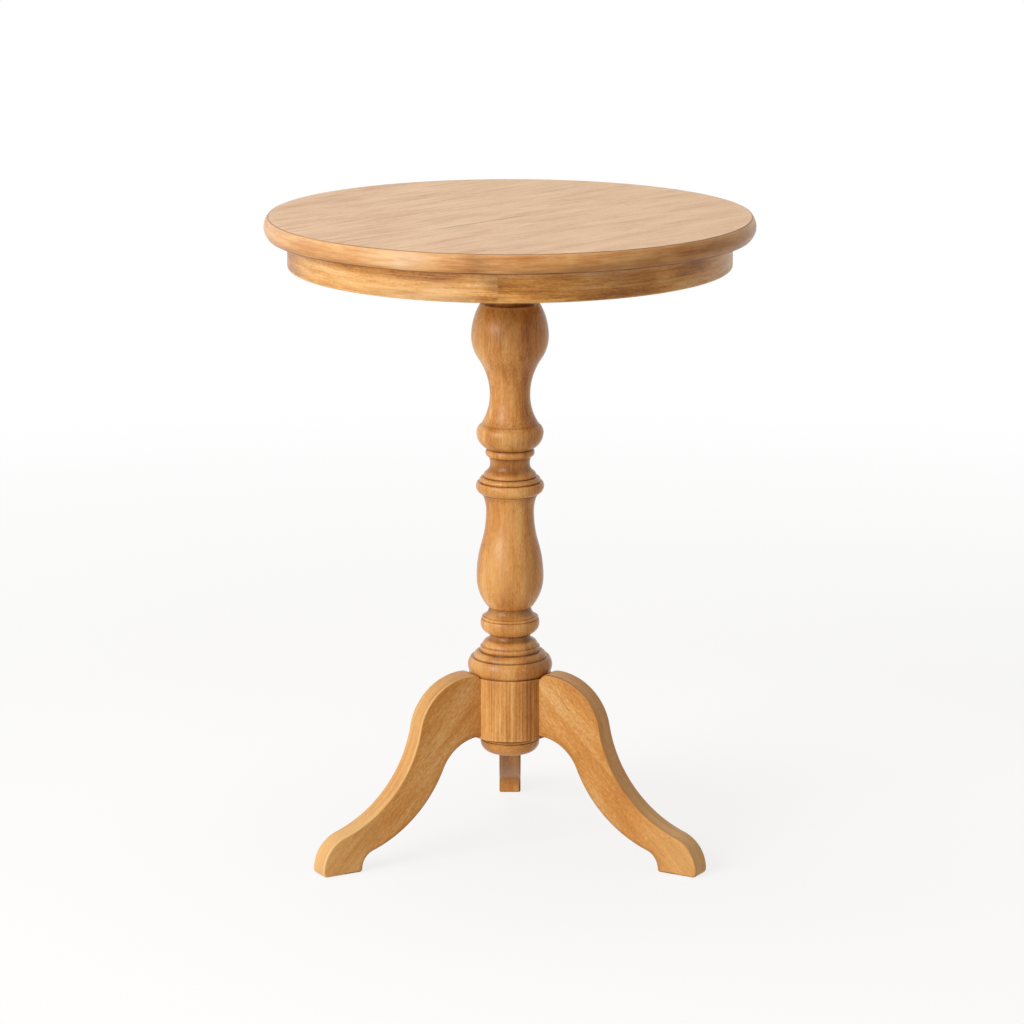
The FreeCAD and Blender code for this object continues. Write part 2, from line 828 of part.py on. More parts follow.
def chain_joints(start, end, radii):
    """Centres and meeting points of three tangent arcs, level at the start and plumb at the end."""
    first, middle, last = radii
    one = (start[0], start[1] - first)
    three = (end[0] - last, end[1])
    gap = math.dist(one, three)
    along = ((first + middle) ** 2 - (middle + last) ** 2 + gap ** 2) / (2 * gap)
    across = math.sqrt((first + middle) ** 2 - along ** 2)
    unit = ((three[0] - one[0]) / gap, (three[1] - one[1]) / gap)
    two = (one[0] + unit[0] * along - unit[1] * across, one[1] + unit[1] * along + unit[0] * across)
    share_in, share_out = first / (first + middle), last / (middle + last)
    meet_in = tuple(a + (b - a) * share_in for a, b in zip(one, two))
    meet_out = tuple(a + (b - a) * share_out for a, b in zip(three, two))
    return (one, two, three), (meet_in, meet_out)


def leg_chain(outline, points, centres, radii, level_first):
    """Adds three tangent arcs of a leg's edge, level at the column and plumb at the foot."""
    stops = list(zip(points, points[1:]))
    edges = [outline.arc(centre, start, end, joined=number == 0)
             for number, (centre, (start, end)) in enumerate(zip(centres, stops))]
    for first, second in zip(edges, edges[1:]):
        outline.rule("Tangent", *outline.end_of(first), *outline.start_of(second))
    for edge, radius in zip(edges, radii):
        outline.rule("Radius", edge, length=radius)
    level_edge, plumb_edge = (edges[0], edges[2]) if level_first else (edges[2], edges[0])
    level_point = outline.start_of(level_edge) if level_first else outline.end_of(level_edge)
    plumb_point = outline.end_of(plumb_edge) if level_first else outline.start_of(plumb_edge)
    outline.rule("Vertical", level_edge, 3, *level_point)
    outline.rule("Horizontal", plumb_edge, 3, *plumb_point)
    return edges


def leg_outline(body, name):
    """Side of a leg: crest, shoulder, hollow and toe above, sole, then heel, ankle and knee below."""
    outline = Outline(body, name, "XZ_Plane")
    root_top = DRUM_TOP - size("seat_gap")
    crest = (size("leg_crest_reach"), root_top + size("leg_crest_rise"))
    toe = (size("leg_toe_reach"), size("leg_toe_round"))
    ball = size("leg_toe_reach") - size("leg_toe_round")
    sole_end = ball - size("leg_sole_length")
    heel = (sole_end - size("leg_heel_round"), size("leg_heel_round"))
    knee = FOOT_LEVEL + size("leg_knee_rise")
    upper = [size("leg_shoulder_radius"), size("leg_hollow_radius"), size("leg_toe_radius")]
    lower = [size("leg_knee_radius"), size("leg_ankle_radius"), size("leg_heel_radius")]

    root_point = (DRUM_FLAT.value, root_top.value)
    crest_point = (crest[0].value, crest[1].value)
    toe_point = (toe[0].value, toe[1].value)
    knee_point = (DRUM_FLAT.value, knee.value)
    heel_point = (heel[0].value, heel[1].value)
    across, along = crest_point[0] - root_point[0], crest_point[1] - root_point[1]
    crest_centre = (crest_point[0], crest_point[1] - (across ** 2 + along ** 2) / (2 * along))

    crest_edge = outline.arc(crest_centre, root_point, crest_point)
    outline.rule("Vertical", crest_edge, 3, *outline.end_of(crest_edge))
    outline.pin(outline.start_of(crest_edge), x=DRUM_FLAT, y=root_top)
    outline.pin(outline.end_of(crest_edge), x=crest[0], y=crest[1])
    centres, (meet_in, meet_out) = chain_joints(crest_point, toe_point, [r.value for r in upper])
    edges = leg_chain(outline, [crest_point, meet_in, meet_out, toe_point], centres, upper, True)
    outline.pin(outline.end_of(edges[2]), x=toe[0], y=toe[1])
    toe_edge = outline.arc((ball.value, toe_point[1]), toe_point, (ball.value, 0.0))
    outline.rule("Horizontal", toe_edge, 3, *outline.start_of(toe_edge))
    sole = outline.line((ball.value, 0.0), (sole_end.value, 0.0))
    heel_edge = outline.arc((sole_end.value, heel_point[1]), (sole_end.value, 0.0), heel_point)
    outline.rule("Horizontal", heel_edge, 3, *outline.end_of(heel_edge))
    outline.pin(outline.start_of(sole), x=ball)
    outline.rule("PointOnObject", *outline.start_of(sole), -1)
    outline.pin(outline.end_of(sole), x=sole_end)
    outline.rule("PointOnObject", *outline.end_of(sole), -1)
    outline.pin(outline.end_of(heel_edge), x=heel[0], y=heel[1])
    centres, (meet_in, meet_out) = chain_joints(knee_point, heel_point, [r.value for r in lower])
    edges = leg_chain(outline, [heel_point, meet_out, meet_in, knee_point], centres[::-1], lower[::-1], False)
    outline.pin(outline.end_of(edges[2]), x=DRUM_FLAT, y=knee)
    outline.line(knee_point, root_point)
    return outline.finish()


def side_edges(shape):
    """Names of a leg's long side edges, without those at the column."""
    half = size("leg_thickness").value / 2
    names = []
    for number, edge in enumerate(shape.Edges, start=1):
        on_side = all(abs(abs(vertex.Y) - half) < 1e-4 for vertex in edge.Vertexes)
        flat = abs(edge.Vertexes[0].Y - edge.Vertexes[-1].Y) < 1e-4
        at_root = all(abs(vertex.X - DRUM_FLAT.value) < 1e-4 for vertex in edge.Vertexes)
        if on_side and flat and not at_root:
            names.append(f"Edge{number}")
    return names


def make_leg(label, turn):
    """Sawn leg with eased edges and a dovetail tongue, turned to its direction."""
    body = new_body(label)
    board = body.newObject("PartDesign::Pad", label + "_board")
    board.Profile = leg_outline(body, label + "_outline")
    board.SideType = "Symmetric"
    bind(board, Length=size("leg_thickness"))
    doc.recompute()
    eased = body.newObject("PartDesign::Fillet", label + "_eased")
    eased.Base = (board, side_edges(board.Shape))
    bind(eased, Radius=size("leg_arris"))
    doc.recompute()
    tongue = body.newObject("PartDesign::Pad", label + "_tongue")
    tongue.Profile = dovetail(body, label + "_tongue_section", ZERO)
    bind(tongue, Length=TONGUE_HEIGHT)
    place(body, size("first_leg_angle") + Length(turn, str(turn)), ZERO, ZERO, ZERO)
    return body


def make_cap():
    """Turned cap under the drum: bowl, rim, groove, bead, neck and spigot."""
    body = new_body("base_cap")
    parts = ("cap_bowl", "cap_rim", "cap_groove", "cap_bead", "cap_neck")
    level = FOOT_LEVEL - total(size(part + "_height") for part in parts)
    turning = Turning(body, "cap_profile", level)
    turning.step(size("cap_bottom_radius"))
    turning.arc(size("cap_bowl_height"), size("cap_rim_radius"), False)
    turning.band(size("cap_rim_height"), turning.radius)
    turning.band(size("cap_groove_height"), size("cap_groove_radius"))
    turning.band(size("cap_bead_height"), size("cap_bead_radius"))
    turning.band(size("cap_neck_height"), size("cap_neck_radius"))
    turning.band(size("spigot_length"), size("spigot_radius"))
    turning.revolve(body, "cap_turned")
    return body


def build():
    """Makes every piece and returns them in order."""
    bearer_screws, bearer_holes = make_screws(
        "bearer_screws", bearer_screw_points(), size("bearer_thickness") + size("screw_bite"))
    block_screws, block_holes = make_screws(
        "block_screws", block_screw_points(), size("block_height") + size("screw_bite"))
    splines = make_splines()
    boards = make_boards(make_top_disc(), fused("board_cuts", [*splines, bearer_holes, block_holes]))
    kerf, wedge = make_wedge()
    bound = make_apron_bound()
    legs = [make_leg(name, 360.0 * number / len(LEG_NAMES)) for number, name in enumerate(LEG_NAMES)]
    dowels = shape_group("apron_dowels", make_dowels(0.0))
    return [*boards, *splines, make_bearer(bound, bearer_holes), bearer_screws,
            *make_apron(), dowels, *make_blocks(bound, block_holes), block_screws,
            make_column(kerf), wedge, *legs, make_cap()]


def write(pieces):
    """Checks every object and writes one file for each piece."""
    doc.recompute()
    for item in doc.Objects:
        if "Invalid" in item.State or "Error" in item.State:
            raise RuntimeError(f"{item.Name}: {item.State}")
    for piece in pieces:
        if piece.Shape.isNull() or not piece.Shape.isValid():
            raise RuntimeError(piece.Label + " has no valid shape")
    os.makedirs(NODE_FOLDER, exist_ok=True)
    for piece in pieces:
        piece.Shape.exportStep(os.path.join(NODE_FOLDER, piece.Label + ".step"))


write(build())
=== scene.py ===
"""Wine table: a round board top on an apron, a turned column and three sawn legs, dressed for display.

Sizes are written in millimetres and meshes are made in metres, in the CAD frame: +Z up the column,
-Y towards the viewer and +X to the right. The studio's own sizes are in metres.
"""
from __future__ import annotations

import logging
import math
from dataclasses import dataclass, field
from enum import Enum
from functools import partial
from typing import Callable, Sequence

import bmesh
import bpy
import numpy as np
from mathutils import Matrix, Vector

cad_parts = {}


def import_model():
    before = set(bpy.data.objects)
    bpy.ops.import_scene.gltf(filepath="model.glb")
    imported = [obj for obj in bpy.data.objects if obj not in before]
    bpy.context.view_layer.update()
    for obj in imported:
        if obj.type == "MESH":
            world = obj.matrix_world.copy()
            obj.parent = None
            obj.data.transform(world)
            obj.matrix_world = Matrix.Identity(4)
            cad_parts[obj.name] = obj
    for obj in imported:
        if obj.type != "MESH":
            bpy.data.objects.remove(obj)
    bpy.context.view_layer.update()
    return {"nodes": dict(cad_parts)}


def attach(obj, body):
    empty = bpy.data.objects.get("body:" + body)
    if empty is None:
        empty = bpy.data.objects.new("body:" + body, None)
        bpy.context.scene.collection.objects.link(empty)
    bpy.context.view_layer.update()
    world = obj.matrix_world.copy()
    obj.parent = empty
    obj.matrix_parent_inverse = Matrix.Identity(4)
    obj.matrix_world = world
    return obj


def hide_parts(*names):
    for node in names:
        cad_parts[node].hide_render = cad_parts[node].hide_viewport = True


LOG = logging.getLogger("wine_table")
MM = 0.001
FULL_TURN = 2 * math.pi
TINY = 1e-9
WELD_DIGITS = 4
ARC_POINTS = 24
OGEE_POINTS = 32
WHITE = (1.0, 1.0, 1.0, 1.0)
Socket = bpy.types.NodeSocket
Rgb = tuple[float, float, float]
Rgba = tuple[float, float, float, float]
Point = tuple[float, float, float]
FieldMaker = Callable[[np.ndarray], np.ndarray]


class Slot(Enum):
    """Material slots of the record."""

    TOP = "top_wood"
    APRON = "apron_wood"
    COLUMN = "column_wood"
    LEG = "leg_wood"


class Cut(Enum):
    """Ways in which a turned member runs from its foot to its head."""

    BAND = "step, then plumb"
    RISES_TO_PLUMB = "arc that ends plumb"
    LEAVES_PLUMB = "arc that starts plumb"
    OGEE = "two arcs, plumb at both ends"


class Blend(Enum):
    """Ways of mixing two colours."""

    MIX = "MIX"
    MULTIPLY = "MULTIPLY"
    SCREEN = "SCREEN"


class Figure(Enum):
    """Noise figures: repeats per metre on three axes, octaves, their roughness and the band that is drawn.

    On wood the axes run along the fibres, across the growth rings and along the rings.
    """

    STREAK = ((4.0, 210.0, 60.0), 3.0, 0.55, (0.0, 1.0))
    FIBRE = ((45.0, 900.0, 700.0), 2.0, 0.55, (0.3, 0.7))
    CLOUD = ((9.0, 42.0, 42.0), 3.0, 0.55, (0.0, 1.0))
    PORE = ((85.0, 1500.0, 1100.0), 1.0, 0.5, (0.60, 0.70))
    GRIT = ((230.0, 520.0, 520.0), 2.0, 0.6, (0.0, 1.0))
    GROWTH = ((1.6, 700.0, 60.0), 1.0, 0.6, (0.35, 0.65))
    DASH = ((13.0, 430.0, 300.0), 2.0, 0.5, (0.54, 0.70))
    CROWD = ((5.0, 14.0, 14.0), 1.0, 0.5, (0.38, 0.6))
    MOTTLE = ((22.0, 150.0, 60.0), 4.0, 0.65, (0.36, 0.60))
    RAGGED = ((16.0, 130.0, 90.0), 4.0, 0.65, (0.30, 0.66))
    BROKEN = ((45.0, 45.0, 45.0), 3.0, 0.6, (0.3, 0.65))
    PLANED = ((5.0, 210.0, 210.0), 4.0, 0.6, (0.3, 0.7))
    SAWN = ((420.0, 12.0, 12.0), 2.0, 0.5, (0.0, 1.0))
    DRAWN = ((900.0, 900.0, 120.0), 3.0, 0.6, (0.0, 1.0))
    DULLED = ((160.0, 160.0, 160.0), 2.0, 0.5, (0.3, 0.7))

    @property
    def band(self) -> tuple[float, float]:
        """Lowest and highest value that is drawn."""
        return self.value[3]


def linear(rgb: Rgb) -> Rgba:
    """Turns a display colour into scene light: the sRGB curve undone for each channel.

    Args:
        rgb: red, green and blue from 0 to 255.

    Returns:
        Red, green, blue and a full alpha, from 0 to 1.
    """
    share = np.asarray(rgb, float) / 255.0
    light = np.where(share <= 0.04045, share / 12.92, ((share + 0.055) / 1.055) ** 2.4)
    return (*light.tolist(), 1.0)


def plumb_arc(plumb: Sequence[float], other: Sequence[float], count: int = ARC_POINTS) -> np.ndarray:
    """Points of the arc that is plumb at one end: its centre lies level with that end.

    Args:
        plumb: radius and height of the plumb end.
        other: radius and height of the other end.
        count: number of points.

    Returns:
        Points from the plumb end to the other end.
    """
    across, rise = other[0] - plumb[0], other[1] - plumb[1]
    centre = plumb[0] + (across ** 2 + rise ** 2) / (2 * across)
    reach = plumb[0] - centre
    side = math.copysign(1.0, reach)
    angle = np.linspace(0.0, math.atan2(rise * side, (other[0] - centre) * side), count)
    return np.stack([centre + reach * np.cos(angle), plumb[1] + reach * np.sin(angle)], axis=-1)


def round_arc(
    centre: Sequence[float], start: Sequence[float], end: Sequence[float], count: int = 16
) -> np.ndarray:
    """Points on the shorter arc between two points round a centre: the angle grows evenly.

    Args:
        centre: centre of the arc.
        start: first point.
        end: last point.
        count: number of points.

    Returns:
        Points from start to end.
    """
    first = math.atan2(start[1] - centre[1], start[0] - centre[0])
    last = math.atan2(end[1] - centre[1], end[0] - centre[0])
    turn = (last - first + math.pi) % FULL_TURN - math.pi
    angle = first + np.linspace(0.0, turn, count)
    reach = math.hypot(start[0] - centre[0], start[1] - centre[1])
    return np.stack([centre[0] + reach * np.cos(angle), centre[1] + reach * np.sin(angle)], axis=-1)


def respace(path: np.ndarray, count: int) -> np.ndarray:
    """Points spaced evenly along a path.

    Args:
        path: points of the path.
        count: number of points wanted.

    Returns:
        The path at even shares of its length.
    """
    gaps = np.hypot(*np.diff(path, axis=0).T)
    length = np.concatenate([[0.0], np.cumsum(gaps)])
    at = np.linspace(0.0, length[-1], count)
    return np.stack([np.interp(at, length, path[:, 0]), np.interp(at, length, path[:, 1])], axis=-1)


def bell(steps: float) -> np.ndarray:
    """Weights of a bell that reach three widths to each side and sum to one.

    Args:
        steps: width of the bell in points.

    Returns:
        The weights, an odd number of them.
    """
    half = math.ceil(3 * steps)
    weights = np.exp(-0.5 * (np.arange(-half, half + 1) / steps) ** 2)
    return weights / weights.sum()


def spread(path: np.ndarray, steps: float) -> np.ndarray:
    """Softens a path: each point becomes the bell-weighted mean of its neighbours, with both ends held.

    Args:
        path: evenly spaced points.
        steps: width of the bell in points.

    Returns:
        The softened path.
    """
    weights = bell(steps)
    half = len(weights) // 2
    padded = np.pad(path, ((half, half), (0, 0)), mode="reflect", reflect_type="odd")
    soft = np.stack([np.convolve(column, weights, mode="valid") for column in padded.T], axis=-1)
    soft[0], soft[-1] = path[0], path[-1]
    return soft


def normals_of(path: np.ndarray) -> np.ndarray:
    """Unit normals on the right-hand side of a path, from the run between each point's neighbours.

    Args:
        path: points of the path.

    Returns:
        A normal for each point.
    """
    run = np.gradient(path, axis=0)
    run /= np.maximum(np.hypot(run[:, 0], run[:, 1]), TINY)[:, None]
    return np.stack([run[:, 1], -run[:, 0]], axis=-1)


def eased(
    path: np.ndarray,
    rounding: float,
    turn: float = 6.0,
    gap: float = 3.0,
    step: float = 0.15,
    wide: float = 2.8,
    proud: float = 0.9,
) -> tuple[np.ndarray, np.ndarray]:
    """Rounds every corner of a profile a little and keeps only the points that its shape needs.

    A point is kept each time the summed turn or the summed length since the last one fills a unit.
    Wear and shading is the height of a point over the profile softened more widely: crests are above nil.
    Crests are paled as rubbed wood and painted highlight, and hollows darkened as gathered polish and
    painted shade.

    Args:
        path: profile as radius and height.
        rounding: width of the rounding.
        turn: largest turn between points, in degrees.
        gap: largest distance between points.
        step: spacing at which the profile is worked out.
        wide: width of the wider softening.
        proud: height over the wider softening that counts as full wear.

    Returns:
        The eased profile and the wear and shading at each of its points.
    """
    length = np.hypot(*np.diff(path, axis=0).T).sum()
    even = respace(path, int(length / step) + 1)
    soft = spread(even, rounding / step)
    above = ((soft - spread(even, wide / step)) * normals_of(soft)).sum(axis=1)
    wear_and_shading = np.clip(above / proud, -1.0, 1.0)
    run = np.diff(soft, axis=0)
    bend = np.abs(np.diff(np.unwrap(np.arctan2(run[:, 1], run[:, 0]))))
    filled = np.cumsum(np.concatenate([[0.0], bend / math.radians(turn), [0.0]]) + step / gap)
    kept = np.concatenate([[True], np.diff(np.floor(filled)) > 0])
    kept[-1] = True
    return soft[kept], wear_and_shading[kept]


def turned(points: np.ndarray, degrees: float) -> np.ndarray:
    """Points turned about Z: x becomes x cosine less y sine, and y becomes x sine plus y cosine.

    Args:
        points: array whose last axis is x, y and z.
        degrees: angle of the turn.

    Returns:
        The turned points, in an array of the same shape.
    """
    cosine, sine = math.cos(math.radians(degrees)), math.sin(math.radians(degrees))
    x, y, z = np.moveaxis(points, -1, 0)
    return np.stack([x * cosine - y * sine, x * sine + y * cosine, z], axis=-1)


def swept(profile: np.ndarray, angle: np.ndarray) -> np.ndarray:
    """Grid of a profile swept about Z: x is radius times cosine, and y is radius times sine.

    Args:
        profile: points as radius and height.
        angle: angles in radians, one row for all points or a row for each.

    Returns:
        Points shaped rows by columns by three.
    """
    radius, height = profile[:, :1], profile[:, 1:]
    return np.stack([radius * np.cos(angle), radius * np.sin(angle), height + 0 * angle], axis=-1)


def between(one: np.ndarray, other: np.ndarray, share: np.ndarray) -> np.ndarray:
    """Grid of straight lines between two rows of points: the mean of the rows, weighted by each share."""
    weight = share[:, None, None]
    return one * (1 - weight) + other * weight


class Skin:
    """A closed surface joined from grids of points, in millimetres."""

    def __init__(self) -> None:
        """Starts with no grid."""
        self.points: list[np.ndarray] = []
        self.wear_and_shading: list[np.ndarray] = []
        self.quads: list[np.ndarray] = []
        self.total = 0

    def add(self, grid: np.ndarray, wear_and_shading: np.ndarray | float = 0.0) -> None:
        """Adds one grid of faces.

        Args:
            grid: points shaped rows by columns by three.
            wear_and_shading: edge wear and painted light and shade, from -1 in a hollow or painted shade to
                1 on
            a rubbed crest or painted highlight, one number or rows by columns.
        """
        rows, columns = grid.shape[:2]
        index = self.total + np.arange(rows * columns).reshape(rows, columns)
        corners = [index[:-1, :-1], index[1:, :-1], index[1:, 1:], index[:-1, 1:]]
        self.quads.append(np.stack(corners, axis=-1).reshape(-1, 4))
        self.points.append(grid.reshape(-1, 3))
        self.wear_and_shading.append(np.broadcast_to(wear_and_shading, (rows, columns)).ravel())
        self.total += rows * columns

    def revolve(self, profile: np.ndarray, wear_and_shading: np.ndarray, count: int) -> None:
        """Adds a profile swept once round Z.

        Args:
            profile: radius and height.
            wear_and_shading: wear and painted shading along the profile.
            count: number of faces round.
        """
        angle = np.linspace(0.0, FULL_TURN, count + 1)
        angle[-1] = 0.0
        self.add(swept(profile, angle), wear_and_shading[:, None])

    def make(self, name: str, fields: dict[str, FieldMaker], sharp: float = 32.0) -> bpy.types.Object:
        """Welds the grids into one object with its faces outward.

        Args:
            name: name of the object and its mesh.
            fields: attributes worked out from the points in millimetres.
            sharp: smallest angle that stays a sharp edge, in degrees.

        Returns:
            The object, in the scene.
        """
        points = np.concatenate(self.points)
        rounded = np.round(points, WELD_DIGITS) + 0.0
        _, first, welded = np.unique(rounded, axis=0, return_index=True, return_inverse=True)
        points, wear_and_shading = points[first], np.concatenate(self.wear_and_shading)[first]
        quads = welded.reshape(-1)[np.concatenate(self.quads)]
        same = quads == np.roll(quads, -1, axis=1)
        pinched = same.sum(axis=1) == 1
        whole = quads[same.sum(axis=1) == 0]
        triangles = quads[pinched][~same[pinched]].reshape(-1, 3)
        mesh = bpy.data.meshes.new(name)
        mesh.from_pydata((points * MM).tolist(), [], whole.tolist() + triangles.tolist())
        self.turn_outward(mesh)
        mesh.shade_smooth()
        mesh.set_sharp_from_angle(angle=math.radians(sharp))
        self.store(mesh, "wear_and_shading", wear_and_shading)
        for label, maker in fields.items():
            self.store(mesh, label, maker(points))
        thing = bpy.data.objects.new(name, mesh)
        bpy.context.scene.collection.objects.link(thing)
        LOG.info("%s: %d points, %d faces", name, len(mesh.vertices), len(mesh.polygons))
        return thing

    @staticmethod
    def turn_outward(mesh: bpy.types.Mesh) -> None:
        """Turns every face of a closed mesh outward.

        Args:
            mesh: mesh to change.
        """
        work = bmesh.new()
        work.from_mesh(mesh)
        bmesh.ops.recalc_face_normals(work, faces=work.faces)
        work.to_mesh(mesh)
        work.free()

    @staticmethod
    def store(mesh: bpy.types.Mesh, label: str, values: np.ndarray) -> None:
        """Writes one number or one vector per point as an attribute.

        Args:
            mesh: mesh to write to.
            label: name of the attribute.
            values: one row for each point.
        """
        kind, key = ("FLOAT_VECTOR", "vector") if values.ndim == 2 else ("FLOAT", "value")
        layer = mesh.attributes.new(label, kind, "POINT")
        layer.data.foreach_set(key, np.ascontiguousarray(values, np.float32).ravel())


class Nodes:
    """The node tree of a material or a world, while it is laid out."""

    def __init__(self, owner: bpy.types.Material | bpy.types.World) -> None:
        """Starts an empty tree.

        Args:
            owner: material or world that the tree belongs to.
        """
        owner.use_nodes = True
        self.owner = owner
        self.tree = owner.node_tree
        self.tree.nodes.clear()

    def node(self, kind: str, inputs: dict[int | str, object], **settings: object) -> bpy.types.Node:
        """Adds a node.

        Args:
            kind: node type.
            inputs: a number or colour to set, or a socket to link, for each input.
            settings: properties of the node.

        Returns:
            The node.
        """
        made = self.tree.nodes.new(kind)
        for name, value in settings.items():
            setattr(made, name, value)
        for key, value in inputs.items():
            if isinstance(value, Socket):
                self.tree.links.new(value, made.inputs[key])
            else:
                made.inputs[key].default_value = value
        return made

    def attribute(self, name: str, output: str = "Fac") -> Socket:
        """Reads an attribute of the piece, as a number or, from the output Vector, as a vector."""
        return self.node("ShaderNodeAttribute", {}, attribute_name=name).outputs[output]

    def place(self) -> Socket:
        """Object coordinates of the piece."""
        return self.node("ShaderNodeTexCoord", {}).outputs["Object"]

    def turned(self, vector: Socket, degrees: float) -> Socket:
        """A vector in axes turned about Z."""
        inputs = {"Vector": vector, "Rotation": (0.0, 0.0, math.radians(degrees))}
        return self.node("ShaderNodeMapping", inputs, vector_type="TEXTURE").outputs["Vector"]

    def noise(self, vector: Socket, figure: Figure, coarse: float = 1.0) -> Socket:
        """Noise of a figure at a vector, drawn wider on its second axis by a factor.

        Args:
            vector: where the noise is read.
            figure: figure to draw.
            coarse: the factor.

        Returns:
            The noise, about 0 to 1.
        """
        (first, second, third), octaves, rough, _ = figure.value
        scaled = self.node("ShaderNodeMapping", {"Vector": vector, "Scale": (first, second / coarse, third)})
        inputs = {"Vector": scaled.outputs["Vector"], "Scale": 1.0, "Detail": octaves, "Roughness": rough}
        return self.node("ShaderNodeTexNoise", inputs, normalize=True).outputs["Fac"]

    def span(self, value: Socket, band: tuple[float, float], start: float, end: float) -> Socket:
        """Maps a value from a band of low and high to start..end, held at both ends."""
        inputs = {"Value": value, "From Min": band[0], "From Max": band[1], "To Min": start, "To Max": end}
        return self.node("ShaderNodeMapRange", inputs, clamp=True).outputs["Result"]

    def sums(self, operation: str, *values: Socket | float) -> Socket:
        """Result of one arithmetic node."""
        return self.node("ShaderNodeMath", dict(enumerate(values)), operation=operation).outputs["Value"]

    def plus(self, first: Socket, second: Socket, share: float) -> Socket:
        """First plus a share of the second."""
        return self.sums("MULTIPLY_ADD", second, share, first)

    def times(self, first: Socket, second: Socket | float) -> Socket:
        """Product of two values."""
        return self.sums("MULTIPLY", first, second)

    def most(self, first: Socket, second: Socket) -> Socket:
        """Greater of two values."""
        return self.sums("MAXIMUM", first, second)

    def seen(self) -> Socket:
        """Tells rays from the eye, off gloss or through glass from stray light.

        Returns:
            One for the former and nil for the latter.
        """
        rays = self.node("ShaderNodeLightPath", {}).outputs
        direct = self.most(rays["Is Camera Ray"], rays["Is Glossy Ray"])
        return self.most(direct, rays["Is Transmission Ray"])

    def ramp(self, value: Socket, stops: Sequence[tuple[float, Rgb]]) -> Socket:
        """Colour that runs through some stops.

        Args:
            value: place on the ramp.
            stops: places and display colours, in order.

        Returns:
            The colour.
        """
        made = self.node("ShaderNodeValToRGB", {"Fac": value})
        elements = made.color_ramp.elements
        while len(elements) < len(stops):
            elements.new(0.5)
        for element, (place, rgb) in zip(elements, stops):
            element.position = place
            element.color = linear(rgb)
        return made.outputs["Color"]

    def mix(
        self, share: Socket, base: Socket | Rgba, other: Socket | Rgba, blend: Blend = Blend.MIX
    ) -> Socket:
        """Mixes a second colour into a base.

        Args:
            share: how much of the second colour.
            base: first colour, as a socket or as linear light.
            other: second colour, the same.
            blend: how the two meet.

        Returns:
            The mixed colour.
        """
        inputs = {0: share, 6: base, 7: other}
        return self.node("ShaderNodeMix", inputs, data_type="RGBA", blend_type=blend.value).outputs[2]

    def bump(self, height: Socket, strength: float, depth: float) -> Socket:
        """Normal of a fine relief, with its depth in millimetres."""
        inputs = {"Strength": strength, "Distance": depth * MM, "Height": height}
        return self.node("ShaderNodeBump", inputs).outputs["Normal"]

    def cover(self, share: Socket, base: Socket, other: Socket) -> Socket:
        """A share of one shader laid over another."""
        return self.node("ShaderNodeMixShader", {0: share, 1: base, 2: other}).outputs["Shader"]

    def surface(self, inputs: dict[int | str, object]) -> bpy.types.Material:
        """Ends a material's tree with a principled surface.

        Args:
            inputs: inputs of the surface.

        Returns:
            The material.
        """
        body = self.node("ShaderNodeBsdfPrincipled", inputs)
        self.node("ShaderNodeOutputMaterial", {"Surface": body.outputs["BSDF"]})
        return self.owner


